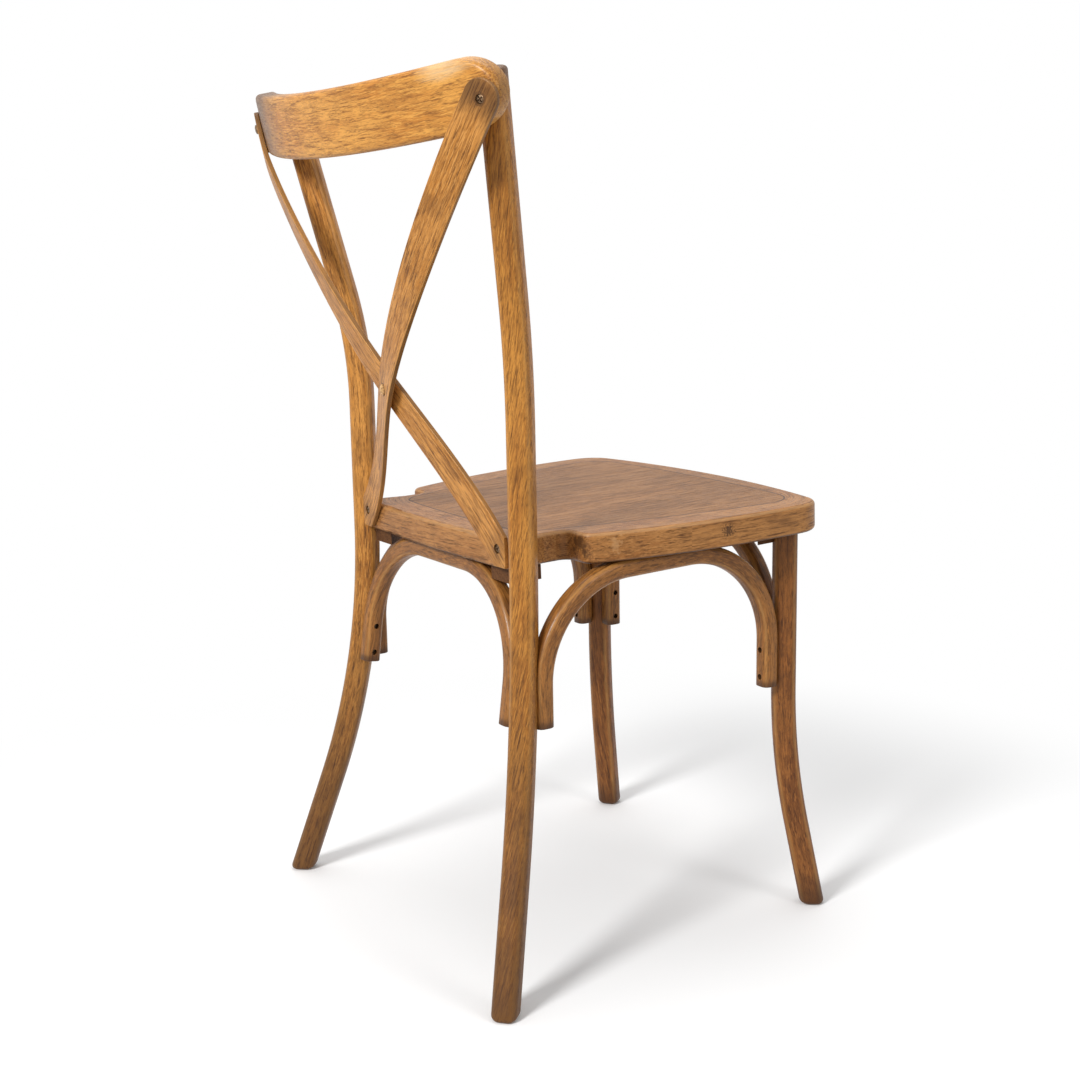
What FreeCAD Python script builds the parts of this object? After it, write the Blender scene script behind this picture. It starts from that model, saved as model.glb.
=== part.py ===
import FreeCAD
import Part
import Sketcher
import math
import os
import re

# Cross back dining chair in bent solid wood.
# The front is towards -Y, the sitter's left is +X and +Z is up. Lengths are in millimetres and
# angles in degrees. The chair is drawn about the middle of its seat, and its nodes are written
# with the origin on the floor under the middle of the whole chair, origin_setback behind that.

driving_sizes = {
    # Back posts, each one bent stick from the floor to the crest rail
    "post_width": 26.4,
    "post_corner_radius": 9.0,
    "post_spread": 166.8,
    "post_setback": 141.7,
    "post_plane_angle": 48.2,
    "post_foot_lean": 19.7,
    "post_lower_bend_drop": 35.0,
    "post_lower_bend_radius": 890.0,
    "post_upper_bend_rise": 105.0,
    "post_upper_bend_radius": 500.0,
    "post_recline": 14.6,
    "post_rise": 437.0,
    "post_top_rounding": 3.5,
    # Front legs
    "leg_width": 26.4,
    "leg_corner_radius": 9.5,
    "leg_spread": 175.0,
    "leg_setback": 186.6,
    "leg_plane_angle": 52.8,
    "leg_foot_lean": 11.3,
    "leg_bend_drop": 203.0,
    "leg_bend_radius": 797.0,
    "foot_rounding": 3.0,
    "tenon_diameter": 18.0,
    "tenon_length": 18.0,
    # Seat frame and panel, in the plane of the seat
    "seat_height": 455.0,
    "seat_tilt": 1.55,
    "seat_thickness": 31.0,
    "seat_edge_rounding": 4.5,
    "seat_front_y": 206.0,
    "seat_front_bow": 25.0,
    "seat_front_x": 213.0,
    "seat_front_corner_radius": 38.0,
    "seat_side_rear_x": 179.0,
    "seat_side_bow": 15.0,
    "shoulder_y": 76.0,
    "shoulder_x": 145.0,
    "shoulder_length": 28.0,
    "shoulder_outer_radius": 16.0,
    "shoulder_inner_radius": 10.0,
    "seat_rear_y": 148.0,
    "seat_rear_bow": 6.0,
    "seat_rear_x": 154.0,
    "front_joint_y": 160.0,
    "rail_tenon_length": 20.0,
    "overlap_length": 8.0,
    "rail_tenon_width": 10.0,
    "rail_tenon_thickness": 10.0,
    "front_tenon_x": 194.0,
    "rear_tenon_x": 124.0,
    "panel_thickness": 8.0,
    "panel_front_y": 194.0,
    "panel_front_bow": 12.0,
    "panel_front_x": 188.0,
    "panel_front_corner_radius": 38.0,
    "panel_side_bow": 9.0,
    "panel_rear_x": 125.0,
    "panel_rear_y": 115.0,
    "panel_rear_bow": 6.0,
    "panel_rear_corner_radius": 28.0,
    "panel_ledge": 30.0,
    "opening_corner_radius": 12.0,
    "panel_groove": 0.5,
    "panel_edge_rounding": 0.8,
    # Bent arches under the seat
    "arch_width": 20.0,
    "arch_corner_radius": 6.0,
    "arch_bend_radius": 106.0,
    "arch_foot_drop": 198.0,
    "rear_arch_foot_rise": 6.0,
    "rear_arch_lean": 7.5,
    "arch_leg_gap": 0.25,
    "arch_post_seat": 0.8,
    # Crest rail, a plank bent round the sitter's back
    "crest_thickness": 24.0,
    "crest_height": 63.0,
    "crest_half_length": 251.0,
    "crest_drop": 11.4,
    "crest_over_post": 39.7,
    "crest_radius": 553.0,
    "crest_arc_tilt": 19.3,
    "crest_lean": 12.0,
    "crest_end_radius": 30.0,
    "crest_edge_rounding": 5.0,
    # Crossed braces, two thin bent strips
    "brace_width": 36.0,
    "brace_thickness": 5.0,
    "brace_end_radius": 17.0,
    "brace_top_inset": 16.0,
    "brace_top_drop": 19.6,
    "brace_bottom_inset": 12.5,
    "brace_bottom_drop": 13.0,
    "brace_crossing_back": 40.5,
    "brace_crossing_rise": 139.0,
    "plug_diameter": 9.0,
    "plug_rise": 1.6,
    "plug_dome_radius": 12.0,
    "brace_gap": 1.2,
    "brace_post_clearance": 3.1,
    # Corner blocks and fasteners
    "block_leg": 36.0,
    "block_height": 15.0,
    "block_inset": 2.0,
    "rear_block_x": 143.0,
    "rear_block_y": 143.0,
    "block_screw_length": 22.0,
    "block_screw_near": 7.0,
    "block_screw_far": 20.0,
    "screw_shank": 4.0,
    "screw_head": 8.0,
    "screw_head_height": 2.4,
    "brace_screw_length": 24.0,
    "brace_screw_sink": 3.0,
    "arch_screw_length": 26.0,
    "arch_screw_sink": 4.0,
    "arch_screw_pitch": 30.0,
    "arch_screw_end": 11.0,
    "crown_screw_length": 30.0,
    "crown_screw_pitch": 28.0,
    "crest_screw_drop": 35.6,
    "crest_screw_length": 32.0,
    "crest_dowel_drop": 5.6,
    "crest_dowel_diameter": 8.0,
    "crest_dowel_length": 24.0,
    "bolt_diameter": 6.0,
    "bolt_length": 64.0,
    "bolt_inset": 8.0,
    "bolt_drop": 19.0,
    "barrel_nut_reach": 45.0,
    "barrel_nut_diameter": 10.0,
    "barrel_nut_length": 16.0,
    "origin_setback": 20.3,
    # Clearances
    "joint_clearance": 0.15,
    "hole_clearance": 0.15,
}

# Sizes that follow from the driving ones: heights over the floor are taken from the seat's, and
# the crest rail and the braces are set out from the posts that carry them.
following_sizes = {
    "post_lower_bend_top": "=seat_height - post_lower_bend_drop",
    "post_upper_bend_start": "=seat_height + post_upper_bend_rise",
    "post_height": "=seat_height + post_rise",
    "leg_bend_top": "=seat_height - leg_bend_drop",
    "arch_foot_height": "=seat_height - arch_foot_drop",
    "rear_arch_foot_height": "=arch_foot_height + rear_arch_foot_rise",
    "bolt_height": "=seat_height - bolt_drop",
    "crest_top_z": "=post_height - crest_drop",
    "crest_screw_height": "=crest_top_z - crest_screw_drop",
    "crest_dowel_height": "=crest_top_z - crest_dowel_drop",
    "upper_bend_reach": "=post_upper_bend_radius * (1 - cos(post_recline))",
    "upper_bend_top": "=post_upper_bend_start + post_upper_bend_radius * sin(post_recline)",
    "crest_reach": "=upper_bend_reach + (crest_top_z - upper_bend_top) * tan(post_recline)",
    "crest_post_x": "=post_spread + crest_reach * cos(post_plane_angle)",
    "crest_post_y": "=post_setback + crest_reach * sin(post_plane_angle)",
    "crest_bow": "=crest_radius - sqrt(crest_radius ^ 2 - crest_post_x ^ 2)",
    "crest_back_y": "=crest_post_y + crest_bow + crest_over_post",
    "brace_top_x": "=crest_half_length - brace_top_inset",
    "brace_top_z": "=crest_top_z - brace_top_drop",
    "brace_post_gap": "=post_spread - post_width / 2 - brace_post_clearance",
    "brace_bottom_x": "=brace_post_gap - brace_bottom_inset",
    "brace_bottom_z": "=seat_height - brace_bottom_drop",
    "brace_crossing_y": "=seat_rear_y + brace_crossing_back",
    "brace_crossing_z": "=seat_height + brace_crossing_rise",
}

document = FreeCAD.newDocument("cross_back_chair")
sheet = document.addObject("Spreadsheet::Sheet", "sizes")
all_sizes = {**driving_sizes, **following_sizes}
for row, (alias, value) in enumerate(all_sizes.items(), start=1):
    sheet.set("A%d" % row, alias)
    sheet.set("B%d" % row, str(value))
    sheet.setAlias("B%d" % row, alias)
document.recompute()

vector = FreeCAD.Vector
origin = vector(0, 0, 0)
x_axis = vector(1, 0, 0)
y_axis = vector(0, 1, 0)
z_axis = vector(0, 0, 1)
reach = 400.0
overrun = 20.0
sides = {"left": 1, "right": -1}
nodes = {}


# Expressions and placements


def bound(text):
    """Put the sheet's name before each of its aliases."""
    return re.sub(r"[a-z_]+", lambda word: prefixed(word.group()), text)


def prefixed(word):
    return "sizes." + word if word in all_sizes else word


def worth(text):
    """The present value of an expression in the sheet's aliases."""
    return float(sheet.evalExpression(bound(text)))


def bind(item, **expressions):
    for name, text in expressions.items():
        item.setExpression(name, bound(text))


def bind_place(item, x="0", y="0", z="0", rotation=None, path="Placement"):
    """Place an item at three expressions, turned by a fixed rotation."""
    turn = rotation or FreeCAD.Rotation()
    setattr(item, path, FreeCAD.Placement(vector(worth(x), worth(y), worth(z)), turn))
    for letter, text in (("x", x), ("y", y), ("z", z)):
        item.setExpression("%s.Base.%s" % (path, letter), bound(text))


def unit(direction):
    return vector(direction) * (1 / direction.Length)


def facing(direction):
    return FreeCAD.Rotation(z_axis, direction)


# Sketches drawn as runs of lines and arcs between bound points


def add_sketch(body, name, role):
    sketch = body.newObject("Sketcher::SketchObject", name)
    plane = [item for item in body.Origin.OriginFeatures if item.Role == role][0]
    sketch.AttachmentSupport = [(plane, "")]
    sketch.MapMode = "FlatFace"
    return sketch


def arc_between(start, end, radius, turn):
    """The short arc from start to end, turning left for 1 and right for -1."""
    chord = end - start
    middle = (start + end) * 0.5
    rise = math.sqrt(max(radius * radius - chord.Length * chord.Length / 4, 0))
    normal = unit(vector(-chord.y, chord.x, 0))
    centre = middle + normal * (rise * turn)
    from_centre = [point - centre for point in (start, end)]
    angles = [math.atan2(arm.y, arm.x) for arm in from_centre]
    if turn < 0:
        angles.reverse()
    circle = Part.Circle(centre, z_axis, radius)
    return Part.ArcOfCircle(circle, angles[0], angles[1])


def draw(sketch, points, curves=None, closed=True):
    """Join bound points in turn. A curve (index, radius, turn) makes that run an arc."""
    curves = {index: (radius, turn) for index, radius, turn in curves or []}
    places = [vector(worth(x), worth(y), 0) for x, y in points]
    runs = len(points) if closed else len(points) - 1
    ends = []
    for index in range(runs):
        start = places[index]
        end = places[(index + 1) % len(points)]
        if index in curves:
            radius, turn = curves[index]
            number = sketch.addGeometry(arc_between(start, end, worth(radius), turn))
            ends.append((number, 1, 2) if turn > 0 else (number, 2, 1))
        else:
            number = sketch.addGeometry(Part.LineSegment(start, end))
            ends.append((number, 1, 2))
    for index, (number, first, last) in enumerate(ends):
        if index + 1 < runs or closed:
            following = ends[(index + 1) % runs]
            sketch.addConstraint(
                Sketcher.Constraint("Coincident", number, last, following[0], following[1]))
        pin(sketch, number, first, points[index])
    if not closed:
        pin(sketch, ends[-1][0], ends[-1][2], points[-1])
    for index, (radius, turn) in curves.items():
        row = sketch.addConstraint(Sketcher.Constraint("Radius", ends[index][0], worth(radius)))
        sketch.setExpression("Constraints[%d]" % row, bound(radius))
    return sketch


def pin(sketch, number, vertex, point):
    for kind, text in zip(("DistanceX", "DistanceY"), point):
        row = sketch.addConstraint(Sketcher.Constraint(kind, -1, 1, number, vertex, worth(text)))
        sketch.setExpression("Constraints[%d]" % row, bound(text))


def rounded_square(sketch, width, radius):
    """A square with rounded corners, centred on the sketch's origin."""
    outer = "(%s) / 2" % width
    inner = "((%s) / 2 - %s)" % (width, radius)
    points = [
        (inner, "-" + outer), (outer, "-" + inner), (outer, inner), (inner, outer),
        ("-" + inner, outer), ("-" + outer, inner), ("-" + outer, "-" + inner),
        ("-" + inner, "-" + outer),
    ]
    return draw(sketch, points, [(index, radius, 1) for index in (0, 2, 4, 6)])


# Features


def pad(body, name, sketch, length, reverse=False):
    feature = body.newObject("PartDesign::Pad", name)
    feature.Profile = sketch
    feature.Reversed = reverse
    bind(feature, Length=length)
    document.recompute()
    return feature


def pocket(body, name, sketch, length, reverse=False):
    before = body.Shape.Volume
    feature = body.newObject("PartDesign::Pocket", name)
    feature.Profile = sketch
    feature.Reversed = reverse
    bind(feature, Length=length)
    document.recompute()
    if feature.Shape.Volume >= before:
        raise ValueError(name + " cuts nothing")
    return feature


def sweep(body, name, profile, path):
    feature = body.newObject("PartDesign::AdditivePipe", name)
    feature.Profile = profile
    feature.Spine = (path, [""])
    document.recompute()
    return feature


def fillet(body, name, radius, test):
    """Round the edges of the body's tip that pass the test."""
    tip = body.Tip
    chosen = ["Edge%d" % (index + 1) for index, edge in enumerate(tip.Shape.Edges) if test(edge)]
    feature = body.newObject("PartDesign::Fillet", name)
    feature.Base = (tip, chosen)
    bind(feature, Radius=radius)
    document.recompute()
    return feature


def solid(kind, name, **expressions):
    """A Part primitive with bound sizes."""
    item = document.addObject("Part::" + kind, name)
    bind(item, **expressions)
    return item


def cut(name, base, *rounds):
    """Take each round of tools out of the base. The tools of one round don't meet."""
    for number, tools in enumerate(rounds, start=1):
        bundle = document.addObject("Part::Compound", "%s_tools_%d" % (name, number))
        bundle.Links = tools
        item = document.addObject("Part::Cut", "%s_%d" % (name, number))
        item.Base = base
        item.Tool = bundle
        base = item
    return base


def common(name, base, tool):
    item = document.addObject("Part::Common", name)
    item.Base = base
    item.Tool = tool
    return item


def fuse(name, items):
    item = document.addObject("Part::MultiFuse", name)
    item.Shapes = items
    item.Refine = True
    return item


def in_seat_plane(x, y, depth=0.0):
    """A point below the top of the seat, from its place in the seat's own plane."""
    return seat_place.multVec(vector(x, y, -depth))


seat_rotation = FreeCAD.Rotation(x_axis, -worth("seat_tilt"))
seat_place = FreeCAD.Placement(vector(0, 0, worth("seat_height")), seat_rotation)


# Posts and legs: a rounded square stick swept along a path that is bent in one upright plane


def post_path():
    """Foot, lower bend, upright stretch beside the seat, upper bend and reclined top."""
    low_x = "post_lower_bend_radius * (1 - cos(post_foot_lean))"
    low_z = "(post_lower_bend_top - post_lower_bend_radius * sin(post_foot_lean))"
    foot_x = "%s + (%s + %g) * tan(post_foot_lean)" % (low_x, low_z, overrun)
    top_x = "upper_bend_reach + (post_height - upper_bend_top) * tan(post_recline)"
    points = [
        (foot_x, "-%g" % overrun), (low_x, low_z), ("0", "post_lower_bend_top"),
        ("0", "post_upper_bend_start"), ("upper_bend_reach", "upper_bend_top"),
        (top_x, "post_height"),
    ]
    return points, [(1, "post_lower_bend_radius", -1), (3, "post_upper_bend_radius", -1)]


def leg_path():
    """Foot, bend and upright stretch up to the seat."""
    low_x = "leg_bend_radius * (1 - cos(leg_foot_lean))"
    low_z = "(leg_bend_top - leg_bend_radius * sin(leg_foot_lean))"
    foot_x = "%s + (%s + %g) * tan(leg_foot_lean)" % (low_x, low_z, overrun)
    points = [
        (foot_x, "-%g" % overrun), (low_x, low_z), ("0", "leg_bend_top"), ("0", "seat_height"),
    ]
    return points, [(1, "leg_bend_radius", -1)]


def bent_stick(name, kind, side, extra):
    """A post or a leg, made larger by extra where it only clears room for one."""
    points, curves = post_path() if kind == "post" else leg_path()
    body = document.addObject("PartDesign::Body", name)
    path = draw(add_sketch(body, name + "_path", "XZ_Plane"), points, curves, closed=False)
    profile = add_sketch(body, name + "_profile", "XY_Plane")
    tilt = FreeCAD.Rotation(y_axis, -worth(kind + "_foot_lean"))
    bind_place(profile, points[0][0], "0", points[0][1], tilt, "AttachmentOffset")
    profile.setExpression("AttachmentOffset.Rotation.Angle", bound("-" + kind + "_foot_lean * 1 deg"))
    rounded_square(profile, kind + "_width + " + extra, "(%s_corner_radius)" % kind)
    document.recompute()
    sweep(body, name + "_sweep", profile, path)
    floor = add_sketch(body, name + "_floor", "XY_Plane")
    corners = [("%g" % x, "%g" % y) for x, y in ((-reach, -reach), (reach, -reach),
                                                 (reach, reach), (-reach, reach))]
    draw(floor, corners)
    document.recompute()
    pocket(body, name + "_foot_cut", floor, "%g" % (3 * overrun))
    angle = worth(kind + "_plane_angle")
    if kind == "leg":
        angle = -angle
    if side < 0:
        angle = 180 - angle
    back = "post_setback" if kind == "post" else "-leg_setback"
    bind_place(body, "%d * %s_spread" % (side, kind), back, "0", FreeCAD.Rotation(z_axis, angle))
    return body


def at_height(height):
    return lambda edge: all(abs(point.Point.z - height) < 0.01 for point in edge.Vertexes)


def around_top(edge):
    """Test for the edges of a post's slanted top face."""
    end_x, end_z = (worth(text) for text in post_path()[0][-1])
    turn = math.radians(worth("post_recline"))
    return all(abs((point.Point.x - end_x) * math.sin(turn)
                   + (point.Point.z - end_z) * math.cos(turn)) < 0.01 for point in edge.Vertexes)


posts = {}
legs = {}
post_room = {}
leg_room = {}
for side, sign in sides.items():
    posts[side] = bent_stick("post_blank_" + side, "post", sign, "0")
    legs[side] = bent_stick("leg_blank_" + side, "leg", sign, "0")
    post_room[side] = bent_stick("post_room_" + side, "post", sign, "2 * joint_clearance")
    leg_room[side] = bent_stick("leg_room_" + side, "leg", sign, "2 * joint_clearance")
    for body in (posts[side], legs[side]):
        fillet(body, body.Name + "_foot_rounding", "foot_rounding", at_height(0))
    fillet(posts[side], "post_top_rounding_" + side, "post_top_rounding", around_top)


# Seat: a frame blank with a recess for the panel, parted into four rails


def bow_radius(half_chord, bow):
    """Radius of the arc that rises by bow over twice half_chord."""
    return "((%s) ^ 2 + (%s) ^ 2) / (2 * (%s))" % (half_chord, bow, bow)


def half_span(width, depth):
    return "(sqrt((%s) ^ 2 + (%s) ^ 2) / 2)" % (width, depth)


def both_sides(points):
    """Add the mirror image of a right-hand run of points, in the order that closes it."""
    return points + [("-(%s)" % x, y) for x, y in reversed(points)]


def frame_outline(sketch):
    """Bowed front and sides, a shoulder behind each side and a bowed rear."""
    points = both_sides([
        ("seat_front_x", "-seat_front_y"), ("seat_side_rear_x", "shoulder_y"),
        ("shoulder_x", "shoulder_y"), ("shoulder_x", "shoulder_y + shoulder_length"),
        ("seat_rear_x", "seat_rear_y - post_width / 2"), ("seat_rear_x", "seat_rear_y"),
    ])
    chord = half_span("seat_front_x - seat_side_rear_x", "seat_front_y + shoulder_y")
    side = bow_radius(chord, "seat_side_bow")
    return draw(sketch, points, [
        (0, side, 1), (5, bow_radius("seat_rear_x", "seat_rear_bow"), 1), (10, side, 1),
        (11, bow_radius("seat_front_x", "seat_front_bow"), 1),
    ])


def panel_outline(sketch, inset):
    """The panel's outline, drawn in by inset all round."""
    front_x = "(panel_front_x - %s)" % inset
    front_y = "(panel_front_y - %s)" % inset
    rear_x = "(panel_rear_x - %s)" % inset
    rear_y = "(panel_rear_y - %s)" % inset
    points = both_sides([(front_x, "-" + front_y), (rear_x, rear_y)])
    side = bow_radius(half_span(front_x + " - " + rear_x, front_y + " + " + rear_y),
                      "panel_side_bow")
    return draw(sketch, points, [
        (0, side, 1), (1, bow_radius(rear_x, "panel_rear_bow"), 1), (2, side, 1),
        (3, bow_radius(front_x, "panel_front_bow"), 1),
    ])


def upright_at(x, y):
    """Test for the upright edges at plus and minus x, in the seat's plane."""
    def test(edge):
        ends = [vertex.Point for vertex in edge.Vertexes]
        return (len(ends) == 2 and (ends[0] - ends[1]).cross(z_axis).Length < 0.01
                and abs(abs(ends[0].x) - worth(x)) < 0.01 and abs(ends[0].y - worth(y)) < 0.01)
    return test


def level_at(height):
    return lambda edge: all(abs(v.Point.z - worth(height)) < 0.01 for v in edge.Vertexes)


def seat_slab(name, outline, depth, corners):
    """Pad an outline down from the top of the seat and round its upright edges."""
    body = document.addObject("PartDesign::Body", name)
    sketch = add_sketch(body, name + "_outline", "XY_Plane")
    outline(sketch)
    document.recompute()
    pad(body, name + "_pad", sketch, depth, reverse=True)
    for number, (x, y, radius) in enumerate(corners, start=1):
        fillet(body, "%s_corner_%d" % (name, number), radius, upright_at(x, y))
    return body


def set_in_seat(body):
    body.Placement = seat_place
    return body


def seat_block(name, x, y, depth, length, width, height):
    """A box in the seat's own frame. Its corner is at x, y and depth below the top."""
    box = solid("Box", name, Length=length, Width=width, Height=height)
    corner = vector(worth(x), worth(y), -worth(depth) - worth(height))
    box.Placement = seat_place.multiply(FreeCAD.Placement(corner, FreeCAD.Rotation()))
    return box


frame = seat_slab("seat_frame_blank", frame_outline, "seat_thickness", [
    ("seat_front_x", "-seat_front_y", "seat_front_corner_radius"),
    ("seat_side_rear_x", "shoulder_y", "shoulder_outer_radius"),
    ("shoulder_x", "shoulder_y", "shoulder_inner_radius"),
])
fillet(frame, "seat_frame_top_rounding", "seat_edge_rounding", level_at("0"))
fillet(frame, "seat_frame_lower_rounding", "seat_edge_rounding", level_at("-seat_thickness"))
panel_corners = [("panel_front_x%s", "-(panel_front_y%s)", "panel_front_corner_radius%s"),
                 ("panel_rear_x%s", "panel_rear_y%s", "panel_rear_corner_radius%s")]


def panel_slab(name, inset, depth, corner_radius=None):
    corners = [[text % (" - " + inset) for text in corner] for corner in panel_corners]
    if corner_radius:
        corners = [(x, y, corner_radius) for x, y, radius in corners]
    return seat_slab(name, lambda sketch: panel_outline(sketch, inset), depth, corners)


recess = panel_slab("panel_recess", "0", "panel_thickness")
opening = panel_slab("seat_opening", "panel_ledge", "2 * seat_thickness", "opening_corner_radius")
panel = panel_slab("panel_blank", "panel_groove", "panel_thickness")
fillet(panel, "panel_top_rounding", "panel_edge_rounding", level_at("0"))
for body in (frame, recess, opening, panel):
    set_in_seat(body)
document.recompute()
hollow = fuse("seat_hollow", [recess, opening])
seat_ring = cut("seat_ring", frame, [hollow])

# The side rails end on tenons in the front and rear rails
tenon_rooms = {"front": [], "rear": []}
tenons = {side: [] for side in sides}
tenon_depth = "panel_thickness + (seat_thickness - panel_thickness - rail_tenon_thickness) / 2"
for side, sign in sides.items():
    for end, x, y in (("front", "front_tenon_x", "-front_joint_y - rail_tenon_length"),
                      ("rear", "rear_tenon_x", "shoulder_y - overlap_length")):
        left_x = "%d * %s - rail_tenon_width / 2" % (sign, x)
        tenon = seat_block("%s_%s_tenon" % (side, end), left_x, y, tenon_depth,
                           "rail_tenon_width", "rail_tenon_length + overlap_length",
                           "rail_tenon_thickness")
        tenons[side].append(tenon)
        room_y = "%s - %s" % (y, "joint_clearance" if end == "front" else "0")
        tenon_rooms[end].append(seat_block(
            "%s_%s_mortise" % (side, end), left_x + " - joint_clearance", room_y,
            tenon_depth + " - joint_clearance", "rail_tenon_width + 2 * joint_clearance",
            "rail_tenon_length + overlap_length + joint_clearance",
            "rail_tenon_thickness + 2 * joint_clearance"))

front_zone = seat_block("front_zone", "-%g" % reach, "-%g" % reach, "-%g" % overrun,
                        "%g" % (2 * reach), "%g - front_joint_y" % reach, "%g" % (5 * overrun))
rear_zone = seat_block("rear_zone", "-%g" % reach, "shoulder_y", "-%g" % overrun,
                       "%g" % (2 * reach), "%g" % reach, "%g" % (5 * overrun))
rails = {
    "seat_front_rail": cut("front_rail_mortised", common("front_rail_blank", seat_ring, front_zone),
                           tenon_rooms["front"]),
    "seat_rear_rail": cut("rear_rail_mortised", common("rear_rail_blank", seat_ring, rear_zone),
                          tenon_rooms["rear"]),
}
for side, sign in sides.items():
    zone = seat_block(side + "_zone", "0" if sign > 0 else "-%g" % reach, "-front_joint_y",
                      "-%g" % overrun, "%g" % reach, "front_joint_y + shoulder_y",
                      "%g" % (5 * overrun))
    rails["seat_side_rail_" + side] = fuse(
        "side_rail_tenoned_" + side, [common("side_rail_blank_" + side, seat_ring, zone)]
        + tenons[side])
document.recompute()


# Crest rail: a rectangular section revolved through a shallow arc, leaning with the posts

crest_turn = "(crest_arc_tilt - crest_lean)"
crest_place = FreeCAD.Placement(
    vector(0, worth("crest_back_y"), worth("crest_top_z")),
    FreeCAD.Rotation(x_axis, -worth("crest_arc_tilt")))


def crest_body(name, extra, half_length):
    body = document.addObject("PartDesign::Body", name)
    sketch = add_sketch(body, name + "_section", "YZ_Plane")
    thickness = "(crest_thickness + %s)" % extra
    rise = "(%s)" % extra
    height = "(crest_height + 2 * %s)" % extra
    top = (rise + " * -sin%s" % crest_turn, rise + " * cos%s" % crest_turn)
    front = tuple("%s - %s * %s%s" % (top[axis], thickness, curve, crest_turn)
                  for axis, curve in enumerate(("cos", "sin")))
    down = (" + %s * sin%s" % (height, crest_turn), " - %s * cos%s" % (height, crest_turn))
    low_front = tuple(front[axis] + down[axis] for axis in range(2))
    low = tuple(top[axis] + down[axis] for axis in range(2))
    draw(sketch, [top, front, low_front, low])
    number = sketch.addGeometry(Part.LineSegment(vector(-worth("crest_radius"), 0, 0),
                                                 vector(-worth("crest_radius"), 100, 0)), True)
    pin(sketch, number, 1, ("-crest_radius", "0"))
    pin(sketch, number, 2, ("-crest_radius", "crest_height"))
    document.recompute()
    feature = body.newObject("PartDesign::Revolution", name + "_revolution")
    feature.Profile = sketch
    feature.ReferenceAxis = (sketch, ["Axis0"])
    feature.Midplane = True
    bind(feature, Angle="2 * asin(%s / crest_radius)" % half_length)
    document.recompute()
    return body


def across_thickness(edge):
    """Test for the four short edges at the ends of the crest rail's plank."""
    ends = [vertex.Point for vertex in edge.Vertexes]
    return (len(ends) == 2 and abs(edge.Length - worth("crest_thickness")) < 0.01
            and min(abs(point.x) for point in ends) > 0.9 * worth("crest_half_length"))


crest = crest_body("crest_blank", "0", "crest_half_length")
fillet(crest, "crest_end_rounding", "crest_end_radius", across_thickness)


def along_faces(edge):
    """Test for the edges that bound the front and back faces of the plank."""
    around = []
    for face in crest.Tip.Shape.Faces:
        if any(edge.isSame(other) for other in face.Edges):
            around.append(face)
    return len(around) == 2 and any(is_broad(face) for face in around)


def is_broad(face):
    return face.Area > 0.5 * worth("crest_height") * 2 * worth("crest_half_length")


fillet(crest, "crest_edge_rounding_all", "crest_edge_rounding", along_faces)
crest_room = crest_body("crest_room", "joint_clearance", "crest_half_length")
for body in (crest, crest_room):
    body.Placement = crest_place
document.recompute()


def on_crest(x, z):
    """The point of the crest rail's back face at x and z, and the normal there."""
    turn = math.radians(worth(crest_turn))
    depth = 0.0
    for step in range(30):
        radius = worth("crest_radius") + depth * math.sin(turn)
        around = math.asin(x / radius)
        flat = radius * math.cos(around) - worth("crest_radius")
        point = crest_place.multVec(vector(x, flat, -depth * math.cos(turn)))
        depth += point.z - z
    outward = vector(math.cos(turn) * math.sin(around), math.cos(turn) * math.cos(around),
                     math.sin(turn))
    return point, crest_place.Rotation.multVec(outward)


def to_crest(point):
    """The distance from a point to the rail's back face, and the normal along which it runs."""
    turn = math.radians(worth(crest_turn))
    local = crest_place.inverse().multVec(point)
    around = math.atan2(local.x, local.y + worth("crest_radius"))
    inside = worth("crest_radius") - math.hypot(local.x, local.y + worth("crest_radius"))
    distance = inside * math.cos(turn) - local.z * math.sin(turn)
    outward = vector(math.cos(turn) * math.sin(around), math.cos(turn) * math.cos(around),
                     math.sin(turn))
    return distance, crest_place.Rotation.multVec(outward)


# Arches: square sticks bent in one plane, with their ends against the posts and legs


def post_offset(height):
    """How far the post's centre line has moved out along its plane at a height."""
    if height < worth("post_lower_bend_top"):
        radius = worth("post_lower_bend_radius")
        return radius - math.sqrt(radius ** 2 - (worth("post_lower_bend_top") - height) ** 2)
    if height < worth("post_upper_bend_start"):
        return 0.0
    high_z = worth("upper_bend_top")
    if height < high_z:
        radius = worth("post_upper_bend_radius")
        return radius - math.sqrt(radius ** 2 - (height - worth("post_upper_bend_start")) ** 2)
    past = math.tan(math.radians(worth("post_recline")))
    return worth("upper_bend_reach") + (height - high_z) * past


def post_centre(sign, height):
    turn = math.radians(worth("post_plane_angle"))
    offset = post_offset(height)
    return vector(sign * (worth("post_spread") + offset * math.cos(turn)),
                  worth("post_setback") + offset * math.sin(turn), height)


def half_extent(kind):
    """Half the stick's extent along X or Y, across its rounded corners."""
    turn = math.radians(worth(kind + "_plane_angle"))
    flat = worth("%s_width / 2 - %s_corner_radius" % (kind, kind))
    return flat * (math.cos(turn) + math.sin(turn)) + worth(kind + "_corner_radius")


def underside(y):
    """Height of the seat's underside."""
    tilt = math.radians(worth("seat_tilt"))
    return worth("seat_height") - worth("seat_thickness") / math.cos(tilt) - y * math.tan(tilt)


def arch_body(name, role, points, curves, place):
    """An arch along a path in the body's own plane. Its first point is one foot."""
    body = document.addObject("PartDesign::Body", name)
    path = draw(add_sketch(body, name + "_path", role), points, curves, closed=False)
    profile = add_sketch(body, name + "_profile", "XY_Plane")
    foot = [worth(text) for text in points[0]]
    start = vector(foot[0], 0, foot[1]) if role == "XZ_Plane" else vector(0, foot[0], foot[1])
    profile.AttachmentOffset = FreeCAD.Placement(start, FreeCAD.Rotation())
    rounded_square(profile, "arch_width", "arch_corner_radius")
    document.recompute()
    sweep(body, name + "_sweep", profile, path)
    body.Placement = place
    return body


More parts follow.
